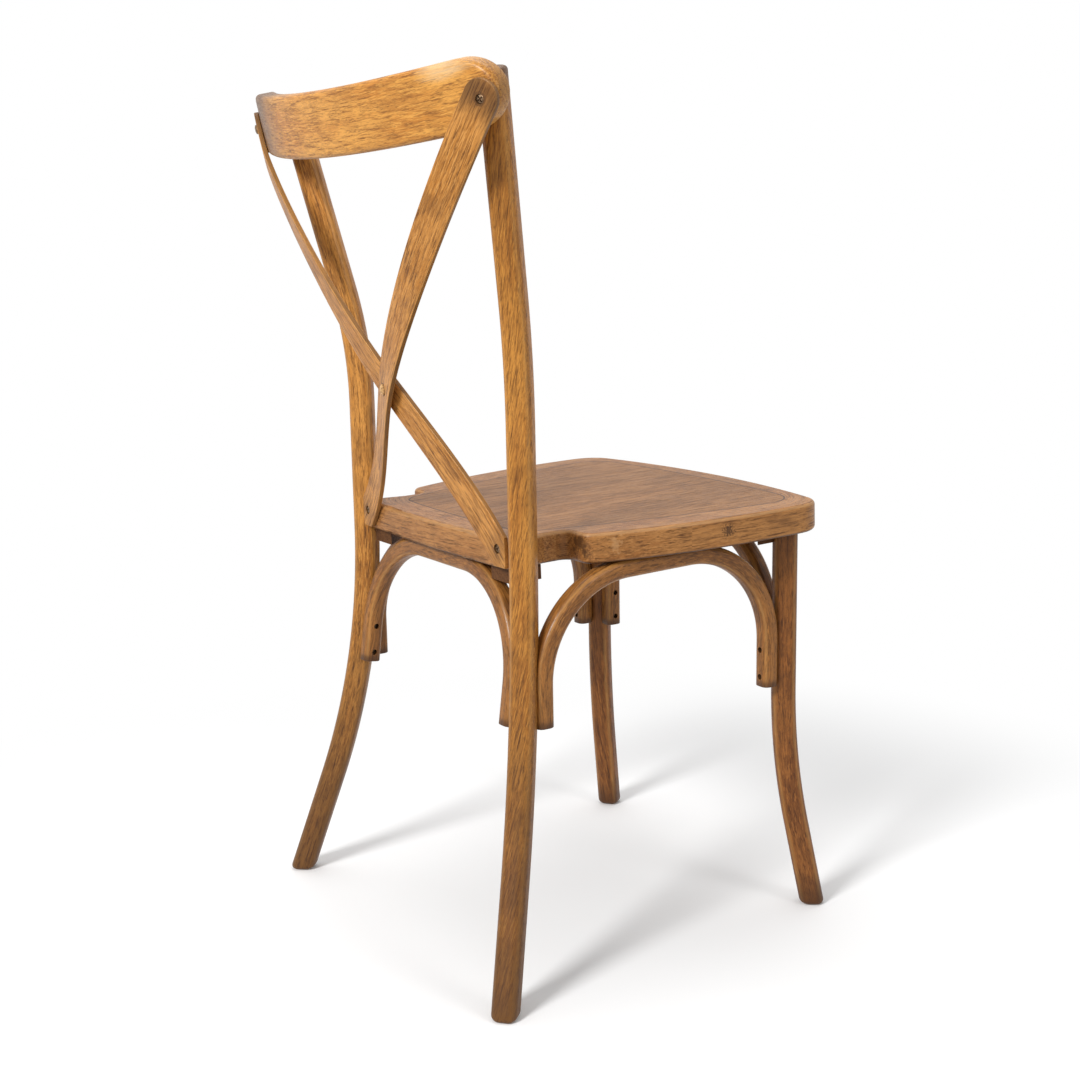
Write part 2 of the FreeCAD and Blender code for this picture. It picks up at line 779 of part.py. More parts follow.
def cross_arch(name, end_x, crown, foot_depth, lean):
    """A symmetric arch that joins two legs or two posts. The body's origin is at its crown."""
    end = "%g" % end_x
    low = "-%g" % foot_depth
    inner = end + " - arch_bend_radius"
    points = [("-" + end, low), ("-" + end, "-arch_bend_radius"), ("-(%s)" % inner, "0"),
              (inner, "0"), (end, "-arch_bend_radius"), (end, low)]
    curves = [(1, "arch_bend_radius", -1), (3, "arch_bend_radius", -1)]
    return arch_body(name, "XZ_Plane", points, curves,
                     FreeCAD.Placement(crown, FreeCAD.Rotation(x_axis, lean)))


half_arch = worth("arch_width / 2")
tilt_angle = math.radians(worth("seat_tilt"))
arch_places = {}

front_end_x = worth("leg_spread - arch_leg_gap") - half_extent("leg") - half_arch
front_crown = vector(0, -worth("leg_setback"), underside(-worth("leg_setback")) - half_arch)
front_foot = front_crown.z - worth("arch_foot_height")
arch_places["front_arch"] = cross_arch("front_arch_blank", front_end_x, front_crown, front_foot, 0)

rear_lean = math.radians(worth("rear_arch_lean"))
rear_foot_centre = post_centre(1, worth("rear_arch_foot_height"))
rear_end_x = rear_foot_centre.x - half_extent("post") - half_arch + worth("arch_post_seat")
tip = rear_lean + tilt_angle
drop = half_arch * math.cos(tip) - worth("arch_width / 2 - arch_corner_radius") * math.sin(tip)
rear_crown_z = underside(worth("seat_rear_y - arch_width")) - drop
rear_rise = rear_crown_z - worth("rear_arch_foot_height")
rear_crown = vector(0, rear_foot_centre.y - rear_rise * math.tan(rear_lean), rear_crown_z)
rear_foot = rear_rise / math.cos(rear_lean)
arch_places["rear_arch"] = cross_arch("rear_arch_blank", rear_end_x, rear_crown, rear_foot,
                                      worth("rear_arch_lean"))

# The side arches' crowns run along the sloping underside of the seat
side_foot_centre = post_centre(1, worth("arch_foot_height"))
side_x = (worth("leg_spread") + side_foot_centre.x) / 2
side_rear_y = side_foot_centre.y - half_extent("post") - half_arch + worth("arch_post_seat")
side_front_y = half_extent("leg") + half_arch - worth("leg_setback - arch_leg_gap")
bend = worth("arch_bend_radius")
crown_base = underside(0) - worth("arch_width / 2 + joint_clearance") / math.cos(tilt_angle)
rear_bend_y = side_rear_y - bend * (1 - math.sin(tilt_angle))
front_bend_y = side_front_y + bend * (1 + math.sin(tilt_angle))
rear_bend_z = crown_base - rear_bend_y * math.tan(tilt_angle)
front_bend_z = crown_base - front_bend_y * math.tan(tilt_angle)
flat_drop = bend * math.cos(tilt_angle)
side_points = [
    (side_rear_y, worth("arch_foot_height")), (side_rear_y, rear_bend_z - flat_drop),
    (rear_bend_y, rear_bend_z), (front_bend_y, front_bend_z),
    (side_front_y, front_bend_z - flat_drop), (side_front_y, worth("arch_foot_height")),
]
side_points = [("%.6f" % y, "%.6f" % z) for y, z in side_points]
side_curves = [(1, "arch_bend_radius", 1), (3, "arch_bend_radius", 1)]
for side, sign in sides.items():
    arch_places["side_arch_" + side] = arch_body(
        "side_arch_blank_" + side, "YZ_Plane", side_points, side_curves,
        FreeCAD.Placement(vector(sign * side_x, 0, 0), FreeCAD.Rotation()))
document.recompute()


# Fasteners, each with a hole a little larger than itself


def rod(name, point, direction, radius, start, end):
    """A cylinder about the line through point, from start to end along direction."""
    item = solid("Cylinder", name, Radius=radius, Height="(%s) - (%s)" % (end, start))
    item.Placement = FreeCAD.Placement(point + direction * worth(start), facing(direction))
    return item


fasteners = {}


def screw(group, point, direction, length, sink):
    """A screw with its head sunk below point. The direction points out of the wood."""
    members = fasteners.setdefault(group, [])
    name = "%s_%d" % (group, len(members) + 1)
    seat = "-(%s) - screw_head_height" % sink
    shank = rod(name + "_shank", point, direction, "screw_shank / 2",
                "%s - %s" % (seat, length), seat)
    head = rod(name + "_head", point, direction, "screw_head / 2", seat, "-(%s)" % sink)
    members.append(fuse(name, [shank, head]))
    bore = rod(name + "_bore", point, direction, "screw_shank / 2 + hole_clearance",
               "%s - %s - hole_clearance" % (seat, length), "-(%s)" % sink)
    pocket_rod = rod(name + "_pocket", point, direction, "screw_head / 2 + hole_clearance",
                     seat, "%g" % overrun)
    hole = fuse(name + "_hole", [bore, pocket_rod])
    return hole


above = seat_block("above_underside", "-%g" % reach, "-%g" % reach, "-%g" % overrun,
                   "%g" % (2 * reach), "%g" % (2 * reach), "seat_thickness + %g" % overrun)
down = seat_rotation.multVec(z_axis) * -1
arch_holes = {name: [] for name in arch_places}
rail_holes = {name: [] for name in rails}
post_holes = {side: [] for side in sides}
leg_holes = {side: [] for side in sides}
pitches = ["arch_screw_end", "arch_screw_end + arch_screw_pitch"]

for side, sign in sides.items():
    for rise in (worth(text) for text in pitches):
        lean_step = vector(0, -math.sin(rear_lean), math.cos(rear_lean)) * (rise - rear_foot)
        ends = [
            ("front_arch", leg_holes, vector(sign * (front_end_x - half_arch), front_crown.y,
                                             worth("arch_foot_height") + rise), x_axis * -sign),
            ("rear_arch", post_holes, rear_crown + lean_step
             + x_axis * (sign * (rear_end_x - half_arch)), x_axis * -sign),
            ("side_arch_" + side, leg_holes, vector(sign * side_x, side_front_y + half_arch,
                                                    worth("arch_foot_height") + rise), y_axis),
            ("side_arch_" + side, post_holes, vector(sign * side_x, side_rear_y - half_arch,
                                                     worth("arch_foot_height") + rise),
             y_axis * -1),
        ]
        for arch, others, point, direction in ends:
            hole = screw("arch_end_screws", point, direction, "arch_screw_length",
                         "arch_screw_sink")
            arch_holes[arch].append(hole)
            others[side].append(hole)

crown_middle = vector(side_x, (rear_bend_y + front_bend_y) / 2, (rear_bend_z + front_bend_z) / 2)
rear_down = vector(0, math.sin(rear_lean), -math.cos(rear_lean))
slope = seat_rotation.multVec(y_axis)
for sign in (-1, 1):
    step = sign * worth("crown_screw_pitch")
    crowns = [
        ("front_arch", "seat_front_rail", front_crown + x_axis * step, z_axis * -1),
        ("rear_arch", "seat_rear_rail", rear_crown + x_axis * step, rear_down),
        ("side_arch_left", "seat_side_rail_left", crown_middle + slope * step, down),
        ("side_arch_right", "seat_side_rail_right",
         crown_middle + slope * step - x_axis * (2 * side_x), down),
    ]
    for arch, rail, point, direction in crowns:
        hole = screw("arch_crown_screws", point + direction * half_arch, direction,
                     "crown_screw_length - arch_screw_sink", "arch_screw_sink")
        arch_holes[arch].append(hole)
        rail_holes[rail].append(hole)
document.recompute()


# Crossed braces: thin strips that twist from the crest rail down to the rear of the seat


def seat_rear_face(x, height):
    """The point of the rear rail's back face at x and a height, and the normal there."""
    radius = worth(bow_radius("seat_rear_x", "seat_rear_bow"))
    drop = radius - math.sqrt(radius ** 2 - x ** 2)
    y = worth("seat_rear_y + seat_rear_bow") - drop
    depth = (worth("seat_height") - height - y * math.sin(tilt_angle)) / math.cos(tilt_angle)
    outward = seat_rotation.multVec(vector(x / radius, math.sqrt(1 - (x / radius) ** 2), 0))
    return in_seat_plane(x, y, depth), outward


def along(direction, normal):
    """The part of a direction that lies in the plane across the normal."""
    return unit(direction - normal * direction.dot(normal))


def blend(values, share):
    """The quadratic through three vectors at the shares 0, 0.5 and 1."""
    first = values[0] * (2 * (share - 0.5) * (share - 1))
    middle = values[1] * (-4 * share * (share - 1))
    return first + middle + values[2] * (2 * share * (share - 0.5))


def brace_strip(name, sign, lift):
    """A strip from the crest rail's end at the side of sign, lifted by lift where they cross."""
    half = worth("brace_thickness / 2 + joint_clearance")
    top, top_normal = on_crest(sign * worth("brace_top_x"), worth("brace_top_z"))
    low, low_normal = seat_rear_face(-sign * worth("brace_bottom_x"), worth("brace_bottom_z"))
    middle = vector(0, worth("brace_crossing_y") + half + lift, worth("brace_crossing_z"))
    top_way = along(top - middle, top_normal)
    low_way = along(low - middle, low_normal)
    edge, edge_normal = on_crest(top.x - top_way.x * 34, top.z - top_way.z * 34)
    points = [top + top_normal * half, edge + edge_normal * half, middle, low + low_normal * half]
    curve = Part.BSplineCurve()
    curve.interpolate(Points=points, InitialTangent=top_way * -1, FinalTangent=low_way,
                      Scale=True)
    across = vector(0, 0, 0)
    crossing = curve.parameter(middle)
    way = unit(curve.tangent(crossing)[0])
    middle_normal = unit(vector(0, abs(way.z), way.y * (1 if way.z < 0 else -1)))
    first, last = curve.FirstParameter, curve.LastParameter
    stations = []
    cap = worth("brace_width / 2")
    stations.append((points[0] + top_way * cap, top_way * -1, top_normal))
    for number in range(21):
        parameter = first + (last - first) * number / 20
        point = curve.value(parameter)
        travelled = curve.length(first, parameter) / curve.length(first, last)
        middle_share = curve.length(first, crossing) / curve.length(first, last)
        if travelled < middle_share:
            share = 0.5 * travelled / middle_share
        else:
            share = 0.5 + 0.5 * (travelled - middle_share) / (1 - middle_share)
        normal = blend([top_normal, middle_normal, low_normal], share)
        stations.append((point, unit(curve.tangent(parameter)[0]), normal))
    stations.append((points[3] + low_way * worth("2 * seat_thickness"), low_way, low_normal))
    wires = []
    for point, way, normal in stations:
        normal = along(normal, way)
        side_way = way.cross(normal) * worth("brace_width / 2")
        rise = normal * worth("brace_thickness / 2")
        corners = [point + side_way + rise, point - side_way + rise, point - side_way - rise,
                   point + side_way - rise]
        wires.append(Part.makePolygon(corners + corners[:1]))
    strip = Part.makeLoft(wires, True, False)
    tip = stations[0][0]
    corners = [edge for edge in strip.Edges
               if abs(edge.Length - worth("brace_thickness")) < 0.05
               and edge.CenterOfMass.distanceToPoint(tip) < worth("brace_width")]
    item = document.addObject("Part::Feature", name)
    item.Shape = strip.makeFillet(worth("brace_end_radius"), corners)
    return item, middle, middle_normal, top, top_normal, low, low_normal


below = seat_block("below_seat", "-%g" % reach, "-%g" % reach, "seat_thickness",
                   "%g" % (2 * reach), "%g" % (2 * reach), "%g" % (5 * overrun))
post_sides = []
for side, sign in sides.items():
    corner_x = "brace_post_gap" if sign > 0 else "-brace_post_gap - %g" % reach
    box = solid("Box", "brace_trim_" + side, Length="%g" % reach, Width="%g" % reach,
                Height="brace_crossing_z")
    box.Placement.Base = vector(worth(corner_x), 0, 0)
    post_sides.append(box)

braces = {}
brace_holes = {}
layers = {"cross_brace_inner": (1, "0"),
          "cross_brace_outer": (-1, "brace_thickness + brace_gap")}
crest_holes = []
for name, (sign, lift) in layers.items():
    item, middle, plug_way, top, top_way, low, low_way = brace_strip(name + "_strip", sign,
                                                                    worth(lift))
    braces[name] = item
    skin = worth("brace_thickness + joint_clearance")
    top_hole = screw("brace_top_screws", top + top_way * skin, top_way, "brace_screw_length",
                     "brace_screw_sink")
    low_hole = screw("brace_bottom_screws", low + low_way * skin, low_way, "brace_screw_length",
                     "brace_screw_sink / 2")
    brace_holes[name] = [top_hole, low_hole]
    crest_holes.append(top_hole)
    rail_holes["seat_rear_rail"].append(low_hole)
    if sign > 0:
        plug_middle = middle + plug_way * worth("(brace_thickness + brace_gap) / 2")

# The crossing is pinned by a domed plug
plug_end = "brace_thickness + brace_gap / 2"
plug_stick = rod("plug_stick", plug_middle, plug_way, "plug_diameter / 2", "-(%s)" % plug_end,
                 plug_end + " + plug_rise")
plug_ball = solid("Sphere", "plug_ball", Radius="plug_dome_radius")
plug_ball.Placement.Base = plug_middle + plug_way * worth(
    plug_end + " + plug_rise - plug_dome_radius")
plug = common("plug_domed", plug_stick, plug_ball)
plug_hole = rod("plug_hole", plug_middle, plug_way, "plug_diameter / 2 + hole_clearance",
                "-2 * (%s)" % plug_end, "2 * (%s)" % plug_end)
for name in layers:
    brace_holes[name].append(plug_hole)

# The crest rail is held to each post by a screw and a dowel
crest_dowels = []
for side, sign in sides.items():
    centre = post_centre(sign, worth("crest_screw_height"))
    distance, outward = to_crest(centre)
    hole = screw("crest_rail_screws", centre + outward * distance, outward,
                 "crest_screw_length", "joint_clearance")
    crest_holes.append(hole)
    post_holes[side].append(hole)
    centre = post_centre(sign, worth("crest_dowel_height"))
    distance, outward = to_crest(centre)
    joint = centre + outward * (distance - worth("crest_thickness"))
    half = "crest_dowel_length / 2"
    crest_dowels.append(rod("crest_dowel_" + side, joint, outward, "crest_dowel_diameter / 2",
                            "-" + half, half))
    hole = rod("crest_dowel_hole_" + side, joint, outward,
               "crest_dowel_diameter / 2 + hole_clearance", "-%s - hole_clearance" % half,
               half + " + hole_clearance")
    crest_holes.append(hole)
    post_holes[side].append(hole)

# A hidden bolt draws each post to the seat by a barrel nut under the rear rail
bolts = []
barrel_nuts = []
for side, sign in sides.items():
    turn = math.radians(worth("post_plane_angle"))
    inward = vector(-sign * math.cos(turn), -math.sin(turn), 0)
    centre = post_centre(sign, worth("bolt_height"))
    bolts.append(rod("bolt_" + side, centre, inward, "bolt_diameter / 2", "-bolt_inset",
                     "bolt_length - bolt_inset"))
    bolt_hole = rod("bolt_hole_" + side, centre, inward, "bolt_diameter / 2 + hole_clearance",
                    "-bolt_inset - hole_clearance", "bolt_length - bolt_inset + hole_clearance")
    nut_centre = centre + inward * worth("barrel_nut_reach")
    half = "barrel_nut_length / 2"
    nut = rod("barrel_nut_blank_" + side, nut_centre, down, "barrel_nut_diameter / 2",
              "-" + half, half)
    nut_hole = rod("barrel_nut_hole_" + side, nut_centre, down,
                   "barrel_nut_diameter / 2 + hole_clearance", "-%s - hole_clearance" % half,
                   "%g" % overrun)
    barrel_nuts.append(cut("barrel_nut_" + side, nut, [bolt_hole]))
    post_holes[side].append(bolt_hole)
    rail_holes["seat_rear_rail"].append(fuse("bolt_bore_" + side, [bolt_hole, nut_hole]))

# Triangular blocks brace the four corners under the frame
blocks = {}
for side, sign in sides.items():
    for end, corner_x, corner_y, way in (
            ("front", "(leg_spread - block_inset)", "-(leg_setback - block_inset)", 1),
            ("rear", "rear_block_x", "rear_block_y", -1)):
        name = "corner_block_%s_%s" % (end, side)
        x_at = "%d * %s" % (sign, corner_x)
        points = [(x_at, corner_y), (x_at, "%s + %d * block_leg" % (corner_y, way)),
                  ("%s - %d * block_leg" % (x_at, sign), corner_y)]
        if sign * way < 0:
            points.reverse()
        body = document.addObject("PartDesign::Body", name + "_blank")
        sketch = draw(add_sketch(body, name + "_outline", "XY_Plane"), points)
        document.recompute()
        pad(body, name + "_pad", sketch, "block_height", reverse=True)
        lowered = FreeCAD.Placement(vector(0, 0, -worth("seat_thickness")), FreeCAD.Rotation())
        body.Placement = seat_place.multiply(lowered)
        block_holes = []
        for inset_x, inset_y in (("block_screw_near", "block_screw_far"),
                                 ("block_screw_far", "block_screw_near")):
            x = worth(x_at) - sign * worth(inset_x)
            y = worth(corner_y) + way * worth(inset_y)
            point = in_seat_plane(x, y, worth("seat_thickness + block_height"))
            hole = screw("corner_block_screws", point, down, "block_screw_length",
                         "joint_clearance")
            block_holes.append(hole)
            rail_holes["seat_%s_rail" % end].append(hole)
        room = leg_room[side] if end == "front" else post_room[side]
        blocks[name] = cut(name + "_cut", body, [room], block_holes)

# The front legs end in round tenons in the front rail
for side, sign in sides.items():
    tilt_drop = worth("seat_thickness") * math.sin(tilt_angle)
    leg_y = (-worth("leg_setback") + tilt_drop) / math.cos(tilt_angle)
    root = in_seat_plane(sign * worth("leg_spread"), leg_y, worth("seat_thickness"))
    tenon = rod("leg_tenon_" + side, root, down * -1, "tenon_diameter / 2", "-overlap_length",
                "tenon_length")
    mortise = rod("leg_mortise_" + side, root, down * -1, "tenon_diameter / 2 + hole_clearance",
                  "-overlap_length", "tenon_length + hole_clearance")
    trimmed = cut("leg_trimmed_" + side, legs[side], [above])
    nodes["front_leg_" + side] = cut("leg_bored_" + side, fuse("leg_tenoned_" + side,
                                     [trimmed, tenon]), leg_holes[side])
    nodes["back_post_" + side] = cut("post_cut_" + side, posts[side], [crest_room],
                                     post_holes[side])
    rail_holes["seat_front_rail"].append(mortise)

nodes["crest_rail"] = cut("crest_bored", crest, crest_holes)
for name, item in braces.items():
    nodes[name] = cut(name + "_bored", item, [below], post_sides, brace_holes[name])
nodes["brace_crossing_plug"] = plug
for name, item in rails.items():
    rooms = list(post_room.values()) if name == "seat_rear_rail" else []
    rounds = [tools for tools in (rooms, rail_holes[name]) if tools]
    nodes[name] = cut(name + "_bored", item, *rounds)
nodes["seat_panel"] = panel
for name, item in arch_places.items():
    if name.startswith("side"):
        side = name.split("_")[-1]
        rounds = [[post_room[side]]]
    elif name == "front_arch":
        rounds = [[above]]
    else:
        rounds = [[above], list(post_room.values())]
    nodes[name] = cut(name + "_bored", item, *rounds, arch_holes[name])
nodes.update(blocks)


def bundle(name, items):
    group = document.addObject("Part::Compound", name + "_group")
    group.Links = items
    nodes[name] = group


for name, items in fasteners.items():
    bundle(name, items)
bundle("crest_rail_dowels", crest_dowels)
bundle("post_bolts", bolts)
bundle("post_barrel_nuts", barrel_nuts)
document.recompute()


# Checks and export

for item in document.Objects:
    if "Invalid" in item.State or "Error" in item.State:
        raise ValueError("%s did not compute: %s" % (item.Name, item.State))
os.makedirs("parts", exist_ok=True)
to_origin = vector(0, -worth("origin_setback"), 0)
for name, item in nodes.items():
    item.Label = name
    if item.Shape.isNull() or not item.Shape.isValid():
        raise ValueError(name + " has no valid shape")
    shape = item.Shape.copy()
    shape.translate(to_origin)
    shape.exportStep("parts/%s.step" % name)
    print(name, len(item.Shape.Solids), round(item.Shape.Volume))
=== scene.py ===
from functools import partial
import math
import bmesh
import bpy
import numpy as np
from mathutils import Matrix, Vector


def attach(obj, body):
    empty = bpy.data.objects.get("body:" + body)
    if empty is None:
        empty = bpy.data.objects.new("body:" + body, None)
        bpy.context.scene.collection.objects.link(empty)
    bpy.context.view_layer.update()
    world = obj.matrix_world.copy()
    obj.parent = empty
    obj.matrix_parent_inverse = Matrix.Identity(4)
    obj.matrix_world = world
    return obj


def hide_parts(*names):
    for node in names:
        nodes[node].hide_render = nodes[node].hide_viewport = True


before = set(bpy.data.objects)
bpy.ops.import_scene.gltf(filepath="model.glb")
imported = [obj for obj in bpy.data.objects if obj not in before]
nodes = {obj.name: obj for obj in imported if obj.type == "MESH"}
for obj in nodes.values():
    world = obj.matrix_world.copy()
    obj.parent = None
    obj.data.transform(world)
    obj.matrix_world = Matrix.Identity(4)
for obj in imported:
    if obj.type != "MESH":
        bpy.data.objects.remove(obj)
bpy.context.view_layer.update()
print("frame loaded:", len(nodes), "nodes")

# Lengths in the dictionaries are in millimetres and angles in degrees; meshes are in metres.
mm = 0.001
# Places are measured from the floor under the seat's middle; the frame's origin lies behind it.
setback = np.array([0, 20.3, 0])
seat = {"height": 455, "tilt": 1.55, "thickness": 31, "rearY": 148, "rearBow": 6, "rearX": 154}
body = "root"


def unitOf(v):
    # vectors over their lengths
    return v / np.linalg.norm(v, axis=-1, keepdims=True)


def turned(a, b, angle):
    # the pair turned by an angle: a cos - b sin, and a sin + b cos
    return a * math.cos(angle) - b * math.sin(angle), a * math.sin(angle) + b * math.cos(angle)


def axesAlong(way, hint=(0.35, 0.45, 0.82)):
    # the unit vector of way and two square to it, the first of them square to the hint too
    way = unitOf(np.asarray(way, float))
    across = unitOf(np.cross(way, hint))
    return way, across, np.cross(way, across)


def loopFaces(rows, count):
    # quads between neighbouring rows of a closed loop of count points
    here = np.arange((rows - 1) * count).reshape(-1, count)
    beside = np.roll(here, -1, axis=1)
    return np.stack([here, beside, beside + count, here + count], axis=-1).reshape(-1, 4)


def addObject(name, data):
    # a new object at the origin, in the scene
    added = bpy.data.objects.new(name, data)
    bpy.context.scene.collection.objects.link(added)
    return added


def roundRows(centre, way, rows, sides, *hint):
    # circles round centre + way × height, one for each (height, radius) of the rows
    way, across, other = axesAlong(way, *hint)
    turn = np.linspace(0, 2 * np.pi, sides, endpoint=False)[:, None]
    circle = np.cos(turn) * across + np.sin(turn) * other
    return np.concatenate([centre + way * height + radius * circle for height, radius in rows])


def closeUp(mesh):
    # points of one place are merged, and the normals point outwards
    work = bmesh.new()
    work.from_mesh(mesh)
    bmesh.ops.remove_doubles(work, verts=work.verts, dist=2e-6)
    bmesh.ops.recalc_face_normals(work, faces=work.faces)
    work.to_mesh(mesh)
    work.free()


def pointsOf(mesh):
    # a mesh's points in millimetres
    points = np.zeros(len(mesh.vertices) * 3)
    mesh.vertices.foreach_get("co", points)
    return points.reshape(-1, 3) / mm + setback


sharpFrom = 40  # edges that turn more than this stay sharp


def makePiece(name, points, faces, layers, material, slot, replaced=()):
    # points in millimetres and the layers of their values are whole arrays
    mesh = bpy.data.meshes.new(name)
    mesh.from_pydata(((points - setback) * mm).tolist(), [], faces.tolist())
    for layer, values in layers.items():
        kind = "FLOAT_VECTOR" if values.ndim == 2 else "FLOAT"
        attribute = mesh.attributes.new(layer, kind, "POINT")
        attribute.data.foreach_set("vector" if values.ndim == 2 else "value",
                                   values.astype(np.float32).ravel())
    closeUp(mesh)
    mesh.polygons.foreach_set("use_smooth", np.ones(len(mesh.polygons), bool))
    mesh.set_sharp_from_angle(angle=math.radians(sharpFrom))
    piece = addObject(name, mesh)
    mesh.materials.append(material)
    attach(piece, body)
    if replaced:
        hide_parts(*replaced)
    return piece


# the bores' walls and floors take a painted shade of the given strength
bore = {"sides": 32, "step": 1.0, "paintedShade": 1.6, "hint": (0.31, 0.52, 0.79)}


def boreRods(name, holes):
    # the closed cylinders of all holes, with a circle at each step of the way
    points, faces, sides, first = [], [], bore["sides"], 0
    for start, way, radius, length in holes:
        heights = np.linspace(0, length, round(length / bore["step"]) + 1)
        rows = [(height, radius) for height in heights]
        points.append(roundRows(start, way, rows, sides, bore["hint"]))
        last = first + len(points[-1])
        faces += (loopFaces(len(rows), sides) + first).tolist()
        faces += [list(range(first, first + sides))[::-1], list(range(last - sides, last))]
        first = last
    mesh = bpy.data.meshes.new(name)
    mesh.from_pydata(((np.concatenate(points) - setback) * mm).tolist(), [], faces)
    closeUp(mesh)
    return mesh


def boreHoles(piece, holes, place, glazeAndShadeOf):
    # cut cylinders (start, way, radius, length) out of a piece, then lay its grain, glaze and
    # painted shade out again on the points that are left
    cutter = addObject(piece.name + "Cutter", boreRods(piece.name + "Bores", holes))
    cut = piece.modifiers.new("bores", "BOOLEAN")
    cut.operation, cut.solver, cut.object = "DIFFERENCE", "EXACT", cutter
    graph = bpy.context.evaluated_depsgraph_get()
    graph.update()
    result = bpy.data.meshes.new_from_object(piece.evaluated_get(graph))
    piece.modifiers.clear()
    old = piece.data
    piece.data = result
    result.name = old.name
    bpy.data.meshes.remove(old)
    bpy.data.objects.remove(cutter)
    points = pointsOf(result)
    grain = place(points)
    result.attributes["grain"].data.foreach_set("vector", (grain * mm).astype(np.float32).ravel())
    # painted shade darkens the walls and floors of the bores, and ends at their rims
    glaze = glazeAndShadeOf(grain).astype(np.float32)
    for start, way, radius, length in holes:
        away = points - start
        height = away @ way
        off = np.linalg.norm(away - height[:, None] * way, axis=1)
        within = (off < radius + 0.2) & (height > -0.5) & (height < length)
        onRing = np.abs(height / bore["step"] - np.round(height / bore["step"])) < 0.03
        glaze[within & (onRing | (off < radius - 0.3))] = bore["paintedShade"]
    result.attributes["glaze"].data.foreach_set("value", glaze)
    result.set_sharp_from_angle(angle=math.radians(sharpFrom))


def linear(code):
    # sRGB hex to linear colour: a power of 2.4 above a short straight start
    value = np.array([int(code[i:i + 2], 16) for i in (1, 3, 5)]) / 255
    value = np.where(value <= 0.04045, value / 12.92, ((value + 0.055) / 1.055) ** 2.4)
    return (*value.tolist(), 1.0)


def addNode(tree, kind, *inputs, at=None, **settings):
    # one node with its settings; inputs come in the node's own order, or by their keys in at.
    # Each is a value, a socket, or a node, which gives the first of its outputs that is in use.
    node = tree.nodes.new("ShaderNode" + kind)
    for name, value in settings.items():
        setattr(node, name, value)
    for key, value in [*enumerate(inputs), *(at or {}).items()]:
        if isinstance(value, bpy.types.Node):
            value = next(socket for socket in value.outputs if socket.enabled)
        if isinstance(value, bpy.types.NodeSocket):
            tree.links.new(value, node.inputs[key])
        else:
            node.inputs[key].default_value = value
    return node


def emptyMaterial(name):
    # a material without nodes, and addNode for its tree
    material = bpy.data.materials.new(name)
    material.use_nodes = True
    material.node_tree.nodes.clear()
    return material, partial(addNode, material.node_tree)


smooth = {"interpolation_type": "SMOOTHSTEP"}
# The oak's figure: size of its cells in millimetres across and along the grain, then detail,
# roughness and shift. Pores are half a millimetre wide; dashes are coarser, to show from afar.
figure = {"warp": (30, 210, 2, 0.5, 3.1), "broad": (24, 110, 2, 0.5, 9.3),
          "blotch": (30, 38, 2, 0.55, 4.4), "streak": (2.1, 42, 4, 0.66, 1.9),
          "dashes": (1.2, 10, 2, 0.65, 6.1), "stroke": (1.5, 24, 2, 0.6, 8.2),
          "fine": (0.75, 11, 2, 0.6, 5.7), "pores": (0.55, 6.5, 1, 0.5, 7.3)}


